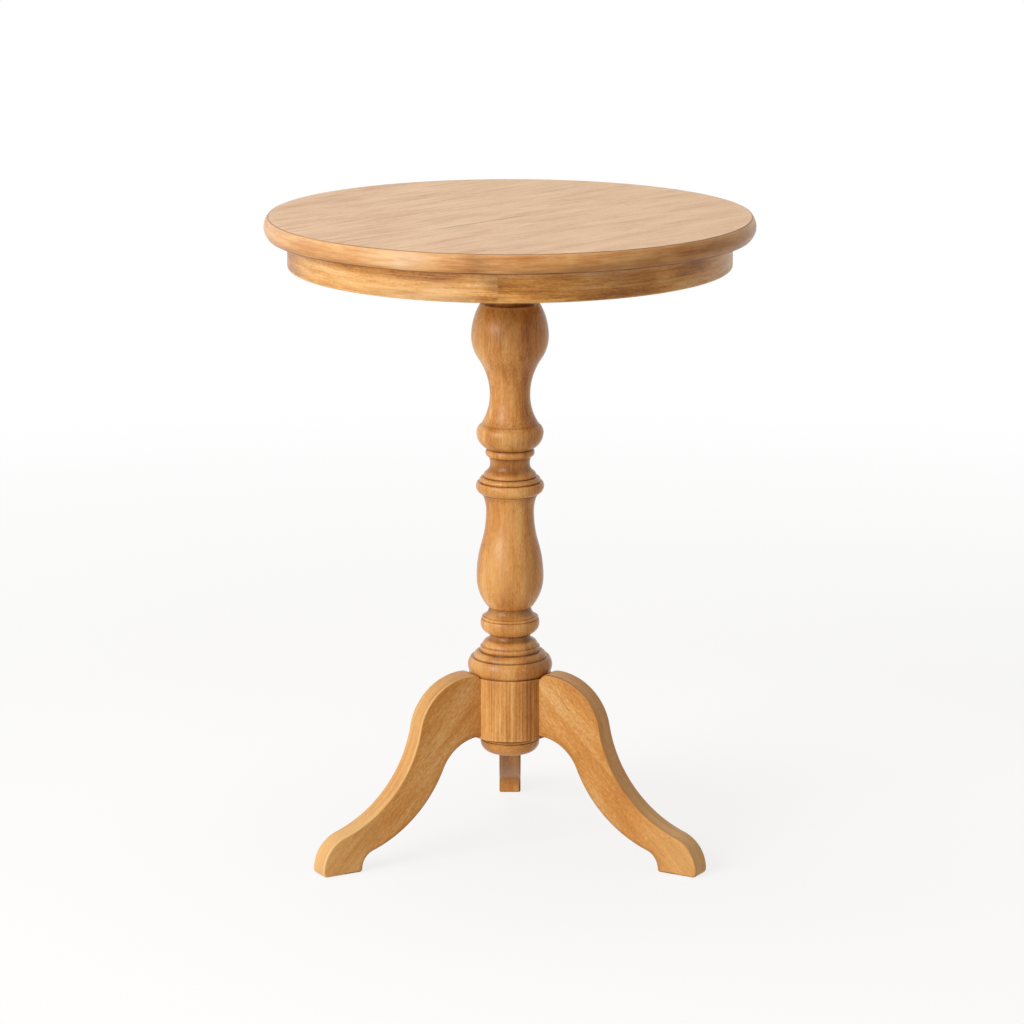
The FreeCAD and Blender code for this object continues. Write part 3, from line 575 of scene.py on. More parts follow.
@dataclass(frozen=True)
class WoodFinish:
    """Lacquered wood: streaks, fibres and clouds along the grain, stains and painted light and shade, rubbed
    edges and painted highlights, and dark hollows and painted shade.

    Attributes:
        name: name of the material.
        deep, body, pale: display colours of the figure, from its darkest to its lightest.
        dark: display colour of stains, painted shade, hollows and glue lines.
        streak, fibre, cloud, grit, bold: shares of these in the figure, bold for the growth lines.
        coarse: how much wider than usual streaks, fibres and dashes are.
        spread: half the width of the figure's values from deep to pale.
        dashes, mask: depth of the short dark dashes, and the attribute that says where they crowd.
        pores, rub_and_highlight, hollow_and_shade, stain_and_shade, seam: depths of the pores, of worn
        crests and painted highlights, of hollows and painted shade, of stains and painted light and shade,
        and of glue lines.
        crowd, ragged, broken: how far noise thins the dashes, frays the stains and breaks the wear.
        crest, dip: wear and painted shading from the first mark to the full one.
        seam_width: distances from a glue line at which it is full and nil.
        rim, rim_gloss: dark and light tints of the rim, and how much smoother it is.
        roughness, rough_band, pore_rough: roughness, its swing over the fibres and its rise in the pores.
        gloss, coat, coat_rough: specular level, and weight and roughness of the coat.
        relief, bump, fibre_rise, pore_sink: depth and strength of the relief, and its shares.
    """

    name: str
    deep: Rgb
    body: Rgb
    pale: Rgb
    dark: Rgb = (92, 52, 20)
    streak: float = 0.40
    fibre: float = 0.30
    cloud: float = 0.30
    grit: float = 0.0
    bold: float = 0.0
    coarse: float = 1.0
    spread: float = 0.15
    dashes: float = 0.35
    mask: str = ""
    pores: float = 0.35
    rub_and_highlight: float = 0.30
    hollow_and_shade: float = 0.80
    stain_and_shade: float = 0.60
    seam: float = 0.0
    crowd: tuple[float, float] = (1.0, 0.15)
    ragged: tuple[float, float] = (0.25, 1.25)
    broken: tuple[float, float] = (0.5, 1.0)
    crest: tuple[float, float] = (0.08, 0.7)
    dip: tuple[float, float] = (-0.08, -0.6)
    seam_width: tuple[float, float] = (0.3, 1.6)
    rim: tuple[Rgb, Rgb] | None = None
    rim_gloss: float = 0.0
    roughness: float = 0.40
    rough_band: tuple[float, float] = (-0.05, 0.06)
    pore_rough: float = 0.08
    gloss: float = 0.25
    coat: float = 0.04
    coat_rough: float = 0.3
    relief: float = 0.10
    bump: float = 0.5
    fibre_rise: float = 0.6
    pore_sink: float = 0.8

    def make(self) -> bpy.types.Material:
        """Lays out the nodes.

        Returns:
            The material.
        """
        nodes = Nodes(bpy.data.materials.new(self.name))
        grain = nodes.attribute("grain", "Vector")
        if self.rim:
            edge = nodes.attribute("rim")
            grain = nodes.mix(edge, grain, nodes.attribute("bend", "Vector"))
        figure, fibre, pore = self.figure(nodes, grain)
        stops = [(0.5 - self.spread, self.deep), (0.5, self.body), (0.5 + self.spread, self.pale)]
        colour = nodes.ramp(figure, stops)
        for share in (nodes.times(pore, self.pores), self.dashed(nodes, grain)):
            colour = nodes.mix(share, colour, linear(self.deep), Blend.MULTIPLY)
        low, high = (self.roughness + swing for swing in self.rough_band)
        rough = nodes.plus(nodes.span(fibre, Figure.FIBRE.band, low, high), pore, self.pore_rough)
        if self.rim:
            tint = nodes.ramp(nodes.noise(grain, Figure.MOTTLE), list(zip(Figure.MOTTLE.band, self.rim)))
            colour = nodes.mix(edge, colour, tint, Blend.MULTIPLY)
            rough = nodes.plus(rough, edge, -self.rim_gloss)
        colour = self.worn_and_shaded(nodes, self.stained_and_shaded(nodes, colour, grain))
        height = nodes.plus(nodes.times(fibre, self.fibre_rise), pore, -self.pore_sink)
        return nodes.surface(
            {
                "Base Color": colour,
                "Roughness": rough,
                "Normal": nodes.bump(height, self.bump, self.relief),
                "Specular IOR Level": self.gloss,
                "Coat Weight": self.coat,
                "Coat Roughness": self.coat_rough,
            }
        )

    def figure(self, nodes: Nodes, grain: Socket) -> tuple[Socket, Socket, Socket]:
        """Weighted sum of streaks, fibres and clouds, with the fibres and the pores beside it.

        Args:
            nodes: tree to add to.
            grain: grain vector.

        Returns:
            Figure, fibres and pores, each about 0 to 1.
        """
        fibre = nodes.noise(grain, Figure.FIBRE, self.coarse)
        total = nodes.times(nodes.noise(grain, Figure.STREAK, self.coarse), self.streak)
        total = nodes.plus(total, fibre, self.fibre)
        total = nodes.plus(total, nodes.noise(grain, Figure.CLOUD), self.cloud)
        if self.grit:
            total = nodes.plus(total, nodes.noise(grain, Figure.GRIT), self.grit)
        if self.bold:
            lines = nodes.span(nodes.noise(grain, Figure.GROWTH), Figure.GROWTH.band, -1.0, 1.0)
            total = nodes.plus(total, nodes.times(lines, nodes.attribute("bold")), self.bold)
        return total, fibre, nodes.span(nodes.noise(grain, Figure.PORE), Figure.PORE.band, 0.0, 1.0)

    def dashed(self, nodes: Nodes, grain: Socket) -> Socket:
        """Share of short dark dashes, which crowd where the mask says or else where a slow noise is low.

        Args:
            nodes: tree to add to.
            grain: grain vector.

        Returns:
            The share.
        """
        if self.mask:
            crowd = nodes.attribute(self.mask)
        else:
            crowd = nodes.span(nodes.noise(grain, Figure.CROWD), Figure.CROWD.band, *self.crowd)
        dash = nodes.noise(grain, Figure.DASH, self.coarse)
        return nodes.times(nodes.span(dash, Figure.DASH.band, 0.0, self.dashes), crowd)

    def stained_and_shaded(self, nodes: Nodes, colour: Socket, grain: Socket) -> Socket:
        """Darkens or pales the placed spots, which are stains and painted light and shade, with their edges
        broken by streaks.

        Args:
            nodes: tree to add to.
            colour: colour so far.
            grain: grain vector.

        Returns:
            The colour with its stains and painted light and shade.
        """
        ragged = nodes.span(nodes.noise(grain, Figure.RAGGED), Figure.RAGGED.band, *self.ragged)
        stain_and_shade = nodes.times(nodes.attribute("stain_and_shade"), ragged)
        # Positive values darken as stains and painted shade, negative ones pale as painted light.
        for full, tint in ((1.0, self.dark), (-1.0, self.pale)):
            colour = nodes.mix(nodes.span(stain_and_shade, (0.0, full), 0.0, self.stain_and_shade), colour, linear(tint))
        return colour

    def worn_and_shaded(self, nodes: Nodes, colour: Socket) -> Socket:
        """Lightens rubbed edges and painted highlights and darkens hollows and painted shade lines, with
        noise breaking both, and draws the glue line.

        Args:
            nodes: tree to add to.
            colour: colour so far.

        Returns:
            The worn colour.
        """
        wear_and_shading = nodes.attribute("wear_and_shading")
        broken = nodes.span(nodes.noise(nodes.place(), Figure.BROKEN), Figure.BROKEN.band, *self.broken)
        # Crests pale as rubbed wood and painted highlight; hollows and painted shade lines darken.
        rub_and_highlight = nodes.times(nodes.span(wear_and_shading, self.crest, 0.0, self.rub_and_highlight), broken)
        colour = nodes.mix(rub_and_highlight, colour, linear(self.pale), Blend.SCREEN)
        hollow_and_shade = nodes.times(nodes.span(wear_and_shading, self.dip, 0.0, self.hollow_and_shade), broken)
        colour = nodes.mix(hollow_and_shade, colour, linear(self.dark))
        if self.seam:
            near = nodes.span(nodes.attribute("seam"), self.seam_width, self.seam, 0.0)
            colour = nodes.mix(nodes.times(near, nodes.attribute("shown")), colour, linear(self.dark))
        return colour


@dataclass(frozen=True)
class BareWood:
    """Planed wood without lacquer, for pieces that no one sees: streaks along one level direction."""

    name: str
    turn: float
    deep: Rgb = (158, 118, 76)
    pale: Rgb = (214, 176, 130)
    stops: tuple[float, float] = (0.3, 0.68)
    saw: float = 0.15
    rough: tuple[float, float] = (0.62, 0.78)
    bump: float = 0.4
    relief: float = 0.15

    def make(self) -> bpy.types.Material:
        """Lays out the nodes on object coordinates turned to the fibres.

        Returns:
            The material.
        """
        nodes = Nodes(bpy.data.materials.new(self.name))
        fibres = nodes.turned(nodes.place(), self.turn)
        streak = nodes.noise(fibres, Figure.PLANED)
        total = nodes.plus(nodes.times(streak, 1.0 - self.saw), nodes.noise(fibres, Figure.SAWN), self.saw)
        return nodes.surface(
            {
                "Base Color": nodes.ramp(total, list(zip(self.stops, (self.deep, self.pale)))),
                "Roughness": nodes.span(streak, Figure.PLANED.band, *self.rough),
                "Normal": nodes.bump(total, self.bump, self.relief),
            }
        )


@dataclass(frozen=True)
class DrawnSteel:
    """Bright drawn steel with fine marks and a little dulling."""

    name: str
    dulling: float = 0.5
    deep: Rgb = (132, 128, 122)
    pale: Rgb = (206, 203, 198)
    stops: tuple[float, float] = (0.3, 0.7)
    rough: tuple[float, float] = (0.28, 0.46)
    bump: float = 0.3
    relief: float = 0.03

    def make(self) -> bpy.types.Material:
        """Lays out the nodes on object coordinates.

        Returns:
            The material.
        """
        nodes = Nodes(bpy.data.materials.new(self.name))
        place = nodes.place()
        marks, dull = nodes.noise(place, Figure.DRAWN), nodes.noise(place, Figure.DULLED)
        total = nodes.plus(nodes.times(marks, 1.0 - self.dulling), dull, self.dulling)
        return nodes.surface(
            {
                "Base Color": nodes.ramp(total, list(zip(self.stops, (self.deep, self.pale)))),
                "Metallic": 1.0,
                "Roughness": nodes.span(dull, Figure.DULLED.band, *self.rough),
                "Normal": nodes.bump(marks, self.bump, self.relief),
            }
        )


@dataclass(frozen=True)
class Spot:
    """A spot at a bearing from the front (to the right) and a height: a bell over both, dark or pale. Some
    spots are stains, others painted light or painted shade.
    """

    bearing: float
    level: float
    wide: float
    tall: float
    depth: float

    def shade(self, points: np.ndarray) -> np.ndarray:
        """Depth of the spot: the bell falls off with angle and with height.

        Args:
            points: points in millimetres.

        Returns:
            The depth at each point.
        """
        bearing = np.degrees(np.arctan2(points[:, 0], -points[:, 1])) - self.bearing
        aside = ((bearing + 180.0) % 360.0 - 180.0) / self.wide
        above = (points[:, 2] - self.level) / self.tall
        return self.depth * np.exp(-0.5 * (aside ** 2 + above ** 2))


def stains_and_shading(spots: Sequence[Spot], points: np.ndarray) -> np.ndarray:
    """Sum of some spots at each point."""
    return sum((spot.shade(points) for spot in spots), np.zeros(len(points)))


@dataclass
class Assembly:
    """A sub-assembly, with its pieces under the names of the CAD nodes that they stand for."""

    made: dict[str, bpy.types.Object] = field(default_factory=dict, init=False)

    def publish(self, slot: Slot, material: bpy.types.Material) -> None:
        """Puts each piece in the place of its CAD node and gives it its finish.

        Args:
            slot: not used.
            material: the finish.
        """
        for node, piece in self.made.items():
            piece.data.materials.append(material)
            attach(piece, "root")
            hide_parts(node)


@dataclass
class RoundTop(Assembly):
    """Four boards glued edge to edge and turned to a round with a swelling edge.

    Attributes:
        radius, swell, crown, flat: radius of the edge, how far it swells, how far down it is widest, and
            the part of each face in its profile.
        low, high: heights of the faces.
        turn, joints: direction of the fibres in degrees, and places of the glue joints across it.
        open_joint: number of the joint that shows, and where it does along the fibres.
        joint_reach, joint_fade, joint_faint: half width and fading of that stretch, and the show elsewhere.
        shift: distance between the figures of neighbouring boards, along and across.
        rounding, facet, steps: rounding of the arrises, largest turn of the profile, and points round it.
        arris, dark_arris: inset, fall and rise within which an arris is dark, and how dark: a dark line at
            the upper arris and a painted shade line at the lower one.
        highlight_fall: how far down the edge every corner is paled, as rubbed wood and painted highlight.
        rim_fade: width over which the faces pass into the rim.
        lively_share, lively_range: share of dashes in the middle and its loss to the right, and its limits.
        spots: stains and painted light and shade of the rim.
    """

    radius: float = 250.0
    swell: float = 4.0
    crown: float = 10.0
    flat: float = 6.0
    low: float = 646.0
    high: float = 666.0
    turn: float = 46.0
    joints: tuple[float, ...] = (-112.0, -14.0, 112.0)
    open_joint: tuple[int, float, float] = (1, -130.0, 15.0)
    joint_reach: float = 20.0
    joint_fade: float = 25.0
    joint_faint: float = 0.12
    shift: tuple[float, float] = (517.0, 41.0)
    rounding: float = 0.2
    facet: float = 3.0
    steps: int = 97
    arris: tuple[float, float, float] = (0.3, 0.9, 1.2)
    dark_arris: float = -0.55
    highlight_fall: float = 2.2
    rim_fade: float = 0.5
    lively_share: tuple[float, float] = (0.45, 0.6)
    lively_range: tuple[float, float] = (0.15, 0.8)
    # Rim spots: the pale one at -25.5 is a painted highlight, the pale one at -66 painted light on the lit
    # left, and the ring at 646 painted shade along the lower edge; the others darken the rim at these
    # places.
    spots: tuple[Spot, ...] = (
        Spot(-25.5, 656.5, 4.5, 6.0, -1.0),
        Spot(-7.5, 655.0, 2.0, 9.0, 0.42),
        Spot(18.0, 650.0, 12.0, 5.0, 0.34),
        Spot(50.0, 652.0, 18.0, 6.0, 0.30),
        Spot(-55.0, 651.0, 10.0, 4.0, 0.3),
        Spot(-66.0, 657.0, 22.0, 9.0, -0.4),
        Spot(0.0, 646.0, 180.0, 2.5, 0.4),
    )

    @property
    def edge(self) -> float:
        """Radius at which the faces end."""
        return self.radius - self.swell

    def profile(self) -> tuple[np.ndarray, np.ndarray]:
        """Edge from the under face to the top face, and its wear and painted shading.

        It is a flat, an arc that swells to plumb, an arc back and a flat.

        Returns:
            Points as radius and height, and the wear and painted shading at each.
        """
        widest = (self.radius, self.high - self.crown)
        inside = self.edge - self.flat
        over, under = (plumb_arc(widest, (self.edge, level)) for level in (self.high, self.low))
        path = np.concatenate([[(inside, self.low)], under[::-1], over, [(inside, self.high)]])
        outline, wear_and_shading = eased(path, self.rounding, turn=self.facet)
        inset, fall, rise = self.arris
        down, up = self.high - outline[:, 1], outline[:, 1] - self.low
        # Arrises: a dark line at the top and a painted shade line at the bottom; corners near the top pale
        # as rubbed wood and painted highlight.
        line = (outline[:, 0] > self.edge - inset) & ((down < fall) | (up < rise))
        return outline, np.where(line, self.dark_arris, np.where(down < self.highlight_fall, np.abs(wear_and_shading), wear_and_shading))

    def grain(self, number: int, points: np.ndarray) -> np.ndarray:
        """Grain vector of a board: along the fibres, across the board and deep."""
        shift = np.array([self.shift[0] * number, self.shift[1] * number, -self.high])
        return (turned(points, -self.turn) + shift) * MM

    def bend(self, number: int, points: np.ndarray) -> np.ndarray:
        """Grain vector of the rim: round the edge, up, and in, unbroken from board to board.

        Args:
            number: number of the board, from 0.
            points: points of the board.

        Returns:
            A vector for each point.
        """
        x, y, z = turned(points, -self.turn).T
        angle = np.arctan2(y, x)
        angle = np.where((x < 0.0) | (number == 0), angle % FULL_TURN, angle)
        return np.stack([angle * self.radius, z, np.hypot(x, y) - self.radius], axis=-1) * MM

    def rim_share(self, points: np.ndarray) -> np.ndarray:
        """Nil on the faces and one on the swelling edge."""
        return np.clip((np.hypot(points[:, 0], points[:, 1]) - self.edge) / self.rim_fade, 0.0, 1.0)

    def stain_and_shade(self, points: np.ndarray) -> np.ndarray:
        """Stains and painted light and shade of the rim, which end at the faces."""
        return stains_and_shading(self.spots, points) * self.rim_share(points)

    def lively(self, points: np.ndarray) -> np.ndarray:
        """How many dark dashes the faces show: many on the left and few on the right."""
        middle, loss = self.lively_share
        return np.clip(middle - loss * points[:, 0] / self.radius, *self.lively_range)

    def seam(self, points: np.ndarray) -> np.ndarray:
        """Distance to the nearest glue joint, in millimetres."""
        across = turned(points, -self.turn)[:, 1:2]
        return np.abs(across - np.array(self.joints)).min(axis=1)

    def shown(self, points: np.ndarray) -> np.ndarray:
        """How open the glue joints look: one stretch of one joint, faint elsewhere and nil on the rim.

        Args:
            points: points of a board.

        Returns:
            The share at each point.
        """
        along, across, _ = turned(points, -self.turn).T
        joint, start, end = self.open_joint
        near = np.abs(across - self.joints[joint]) < self.joint_reach
        inside = near * np.clip(np.minimum(along - start, end - along) / self.joint_fade, 0.0, 1.0)
        return (self.joint_faint + (1.0 - self.joint_faint) * inside) * (1.0 - self.rim_share(points))

    @staticmethod
    def rim(profile: np.ndarray, start: np.ndarray, end: np.ndarray, share: np.ndarray) -> np.ndarray:
        """Grid of the rim: each level of the profile runs evenly from its start angle to its end angle."""
        return swept(profile, start[:, None] * (1 - share) + end[:, None] * share)

    def board(self, low: float, high: float) -> Skin:
        """One board between two joints, or between a joint and the rim.

        The rim is the edge profile swept over the angles whose sine times the radius lies between the
        joints, the faces are straight lines from rim to rim or rim to joint, and the joint is a plane.

        Args:
            low: lower joint, or the negative radius.
            high: upper joint, or the radius.

        Returns:
            The surface of the board.
        """
        profile, wear_and_shading = self.profile()
        share = np.linspace(0.0, 1.0, self.steps)
        start, end = (np.arcsin(np.clip(side / profile[:, 0], -1.0, 1.0)) for side in (low, high))
        if abs(low) < self.radius and abs(high) < self.radius:
            first = self.rim(profile, start, end, share)
            second = self.rim(profile, math.pi - start, math.pi - end, share)
            rims = [first, second]
            ends = [(first[:, 0], second[:, 0]), (first[:, -1], second[:, -1])]
        else:
            angles = (start, math.pi - start) if high >= self.radius else (end, -math.pi - end)
            first = self.rim(profile, *angles, share)
            rims = [first]
            ends = [(first[:, 0], first[:, -1])]
            second = between(*ends[0], share).swapaxes(0, 1)
        skin = Skin()
        for grid in rims:
            skin.add(turned(grid, self.turn), wear_and_shading[:, None])
        for one, other in [(first[0], second[0]), (first[-1], second[-1]), *ends]:
            skin.add(turned(between(one, other, share), self.turn))
        return skin

    def build(self) -> None:
        """Makes the four boards."""
        shared = {
            "seam": self.seam,
            "shown": self.shown,
            "rim": self.rim_share,
            "lively": self.lively,
            "stain_and_shade": self.stain_and_shade,
        }
        edges = (-self.radius, *self.joints, self.radius)
        for number, (low, high) in enumerate(zip(edges, edges[1:])):
            fields = {"grain": partial(self.grain, number), "bend": partial(self.bend, number), **shared}
            board = self.board(low, high).make(f"round_top_board_{number + 1}", fields)
            self.made[f"top_board_{number + 1}"] = board

    def dress(self) -> None:
        """Gives the boards their pale lacquer."""
        finish = WoodFinish(
            "top_lacquer",
            deep=(192, 149, 112), body=(221, 185, 151), pale=(234, 204, 168),
            rim=((220, 172, 108), (248, 218, 166)), rim_gloss=0.20,
            streak=0.22, fibre=0.25, cloud=0.38, grit=0.15, coarse=1.4, spread=0.17,
            dashes=0.6, mask="lively", stain_and_shade=0.8, seam=0.7,
            roughness=0.48, gloss=0.14, coat=0.0,
        )
        self.publish(Slot.TOP, finish.make())


@dataclass
class Apron(Assembly):
    """Six curved segments joined end to end under the top.

    Attributes:
        outer, inner, low, high: radii of the faces and heights of the edges.
        arris, ease, hold: rounding of the outer and inner lower arris, and the straight run beside each.
        first, count: direction of the first joint, and number of segments.
        rows, round_rows, columns, end_rows: points down a face, round an arris, round a segment and over
            an end.
        lift: distance between the figures of neighbouring segments.
        spots: stains and painted light and shade of the ring.
    """

    outer: float = 226.5
    inner: float = 206.5
    low: float = 614.5
    high: float = 646.0
    arris: float = 2.0
    ease: float = 0.6
    hold: float = 0.5
    first: float = 267.0
    count: int = 6
    rows: int = 8
    round_rows: int = 9
    columns: int = 61
    end_rows: int = 5
    lift: float = 1.5
    # Apron spots: the dark one at -4 is a blotch at the front joint; the ring at 646 and the spots at -18
    # and -60 are painted shade under the top's overhang; the pale ones at -22, -42 and -14 are a painted
    # highlight on the lit left, and the one at 70 a painted reflection on the right; the others darken the
    # apron at these places.
    spots: tuple[Spot, ...] = (
        Spot(-4.0, 632.0, 2.2, 16.0, 0.9),
        Spot(24.0, 630.0, 11.0, 14.0, 0.75),
        Spot(55.0, 640.0, 4.0, 6.0, 0.8),
        Spot(0.0, 646.0, 90.0, 2.5, 0.6),
        Spot(-18.0, 638.0, 7.0, 4.0, 0.2),
        Spot(-22.0, 622.0, 10.0, 7.0, -0.5),
        Spot(-60.0, 640.0, 14.0, 8.0, 0.35),
        Spot(-42.0, 624.0, 22.0, 10.0, -0.7),
        Spot(-14.0, 622.0, 7.0, 6.0, -0.3),
        Spot(70.0, 626.0, 10.0, 12.0, -0.4),
    )

    def half(self, face: float, ease: float) -> np.ndarray:
        """Half of the section: down a face, round its lower arris and on to the middle of the lower face.

        Args:
            face: radius of the face.
            ease: rounding of the arris.

        Returns:
            Points as radius and height.
        """
        middle = (self.outer + self.inner) / 2
        inward = math.copysign(1.0, middle - face)
        centre = (face + inward * ease, self.low + ease)
        fall = np.linspace(self.high, self.low + self.arris + self.hold, self.rows)
        return np.concatenate([
            np.stack([np.full(self.rows, face), fall], axis=-1),
            round_arc(centre, (face, centre[1]), (centre[0], self.low), self.round_rows),
            [(centre[0] + inward * self.hold, self.low), (middle, self.low)],
        ])

    def segment(self, start: float) -> Skin:
        """One segment: its section swept about Z over its share of a turn, closed at the top and both ends.

        Args:
            start: angle of its first end, in degrees.

        Returns:
            The surface of the segment.
        """
        angle = np.radians(np.linspace(start, start + 360.0 / self.count, self.columns))
        # Pale line along each lower arris: rubbed wood and painted highlight.
        rub_and_highlight = np.sin(np.linspace(0.0, math.pi, self.round_rows))
        wear_and_shading = np.concatenate([np.zeros(self.rows), rub_and_highlight, [0.0, 0.0]])
        skin = Skin()
        outer = swept(self.half(self.outer, self.arris), angle)
        inner = swept(self.half(self.inner, self.ease), angle)
        for grid in (outer, inner):
            skin.add(grid, wear_and_shading[:, None])
        share = np.linspace(0.0, 1.0, self.end_rows)
        skin.add(between(outer[0], inner[0], share))
        for end in (0, -1):
            skin.add(between(outer[:, end], inner[:, end], share))
        return skin

    def grain(self, number: int, start: float, points: np.ndarray) -> np.ndarray:
        """Grain vector of a segment: round the bend, up, and in from the outer face.

        Args:
            number: number of the segment, from 0.
            start: angle of its first end, in degrees.
            points: points of the segment.

        Returns:
            A vector for each point.
        """
        first = math.radians(start)
        angle = (np.arctan2(points[:, 1], points[:, 0]) - first) % FULL_TURN + first
        height = points[:, 2] - self.low + self.lift * number
        depth = np.hypot(points[:, 0], points[:, 1]) - self.outer
        return np.stack([angle * self.outer, height, depth], axis=-1) * MM

    def build(self) -> None:
        """Makes the six segments."""
        for number in range(self.count):
            start = self.first + 360.0 / self.count * number
            fields = {"grain": partial(self.grain, number, start), "stain_and_shade": partial(stains_and_shading, self.spots)}
            segment = self.segment(start).make(f"round_apron_segment_{number + 1}", fields)
            self.made[f"apron_segment_{number + 1}"] = segment

    def dress(self) -> None:
        """Gives the segments their golden lacquer."""
        finish = WoodFinish(
            "apron_lacquer",
            deep=(154, 95, 36), body=(212, 151, 77), pale=(238, 197, 141),
            streak=0.20, fibre=0.20, cloud=0.45, grit=0.15, spread=0.10,
            roughness=0.34, gloss=0.28,
        )
        self.publish(Slot.APRON, finish.make())


@dataclass(frozen=True)
class Member:
    """One turned member: how it is cut, its height, the radius at its head and any step at its foot.

    An ogee's arcs meet at the given share of the way from its foot to its head.
    """

    cut: Cut
    height: float
    radius: float
    start: float | None = None
    share: float = 0.5

    def points(self, before: float, level: float) -> np.ndarray:
        """Profile of the member.

        Args:
            before: radius at the head of the member below.
            level: height of its foot.

        Returns:
            Points as radius and height.
        """
        foot = (before if self.start is None else self.start, level)
        head = (self.radius, level + self.height)
        if self.cut is Cut.BAND:
            return np.array([(self.radius, level), head])
        if self.cut is Cut.RISES_TO_PLUMB:
            return plumb_arc(head, foot)[::-1]
        if self.cut is Cut.LEAVES_PLUMB:
            return plumb_arc(foot, head)
        meet = (foot[0] + (head[0] - foot[0]) * self.share, level + self.height * self.share)
        ends = [plumb_arc(end, meet, OGEE_POINTS) for end in (foot, head)]
        return np.concatenate([ends[0], ends[1][::-1]])


def turned_profile(members: Sequence[Member], level: float) -> np.ndarray:
    """Profile of a turning from the axis at its foot to the axis at its head.

    Args:
        members: members from the foot up.
        level: height of the foot.

    Returns:
        Points as radius and height.
    """
    runs = [np.array([(0.0, level)])]
    radius = 0.0
    for member in members:
        runs.append(member.points(radius, level))
        radius = member.radius
        level += member.height
    runs.append(np.array([(0.0, level)]))
    return np.concatenate(runs)


BAND, RISE, LEAVE, OGEE = Cut.BAND, Cut.RISES_TO_PLUMB, Cut.LEAVES_PLUMB, Cut.OGEE


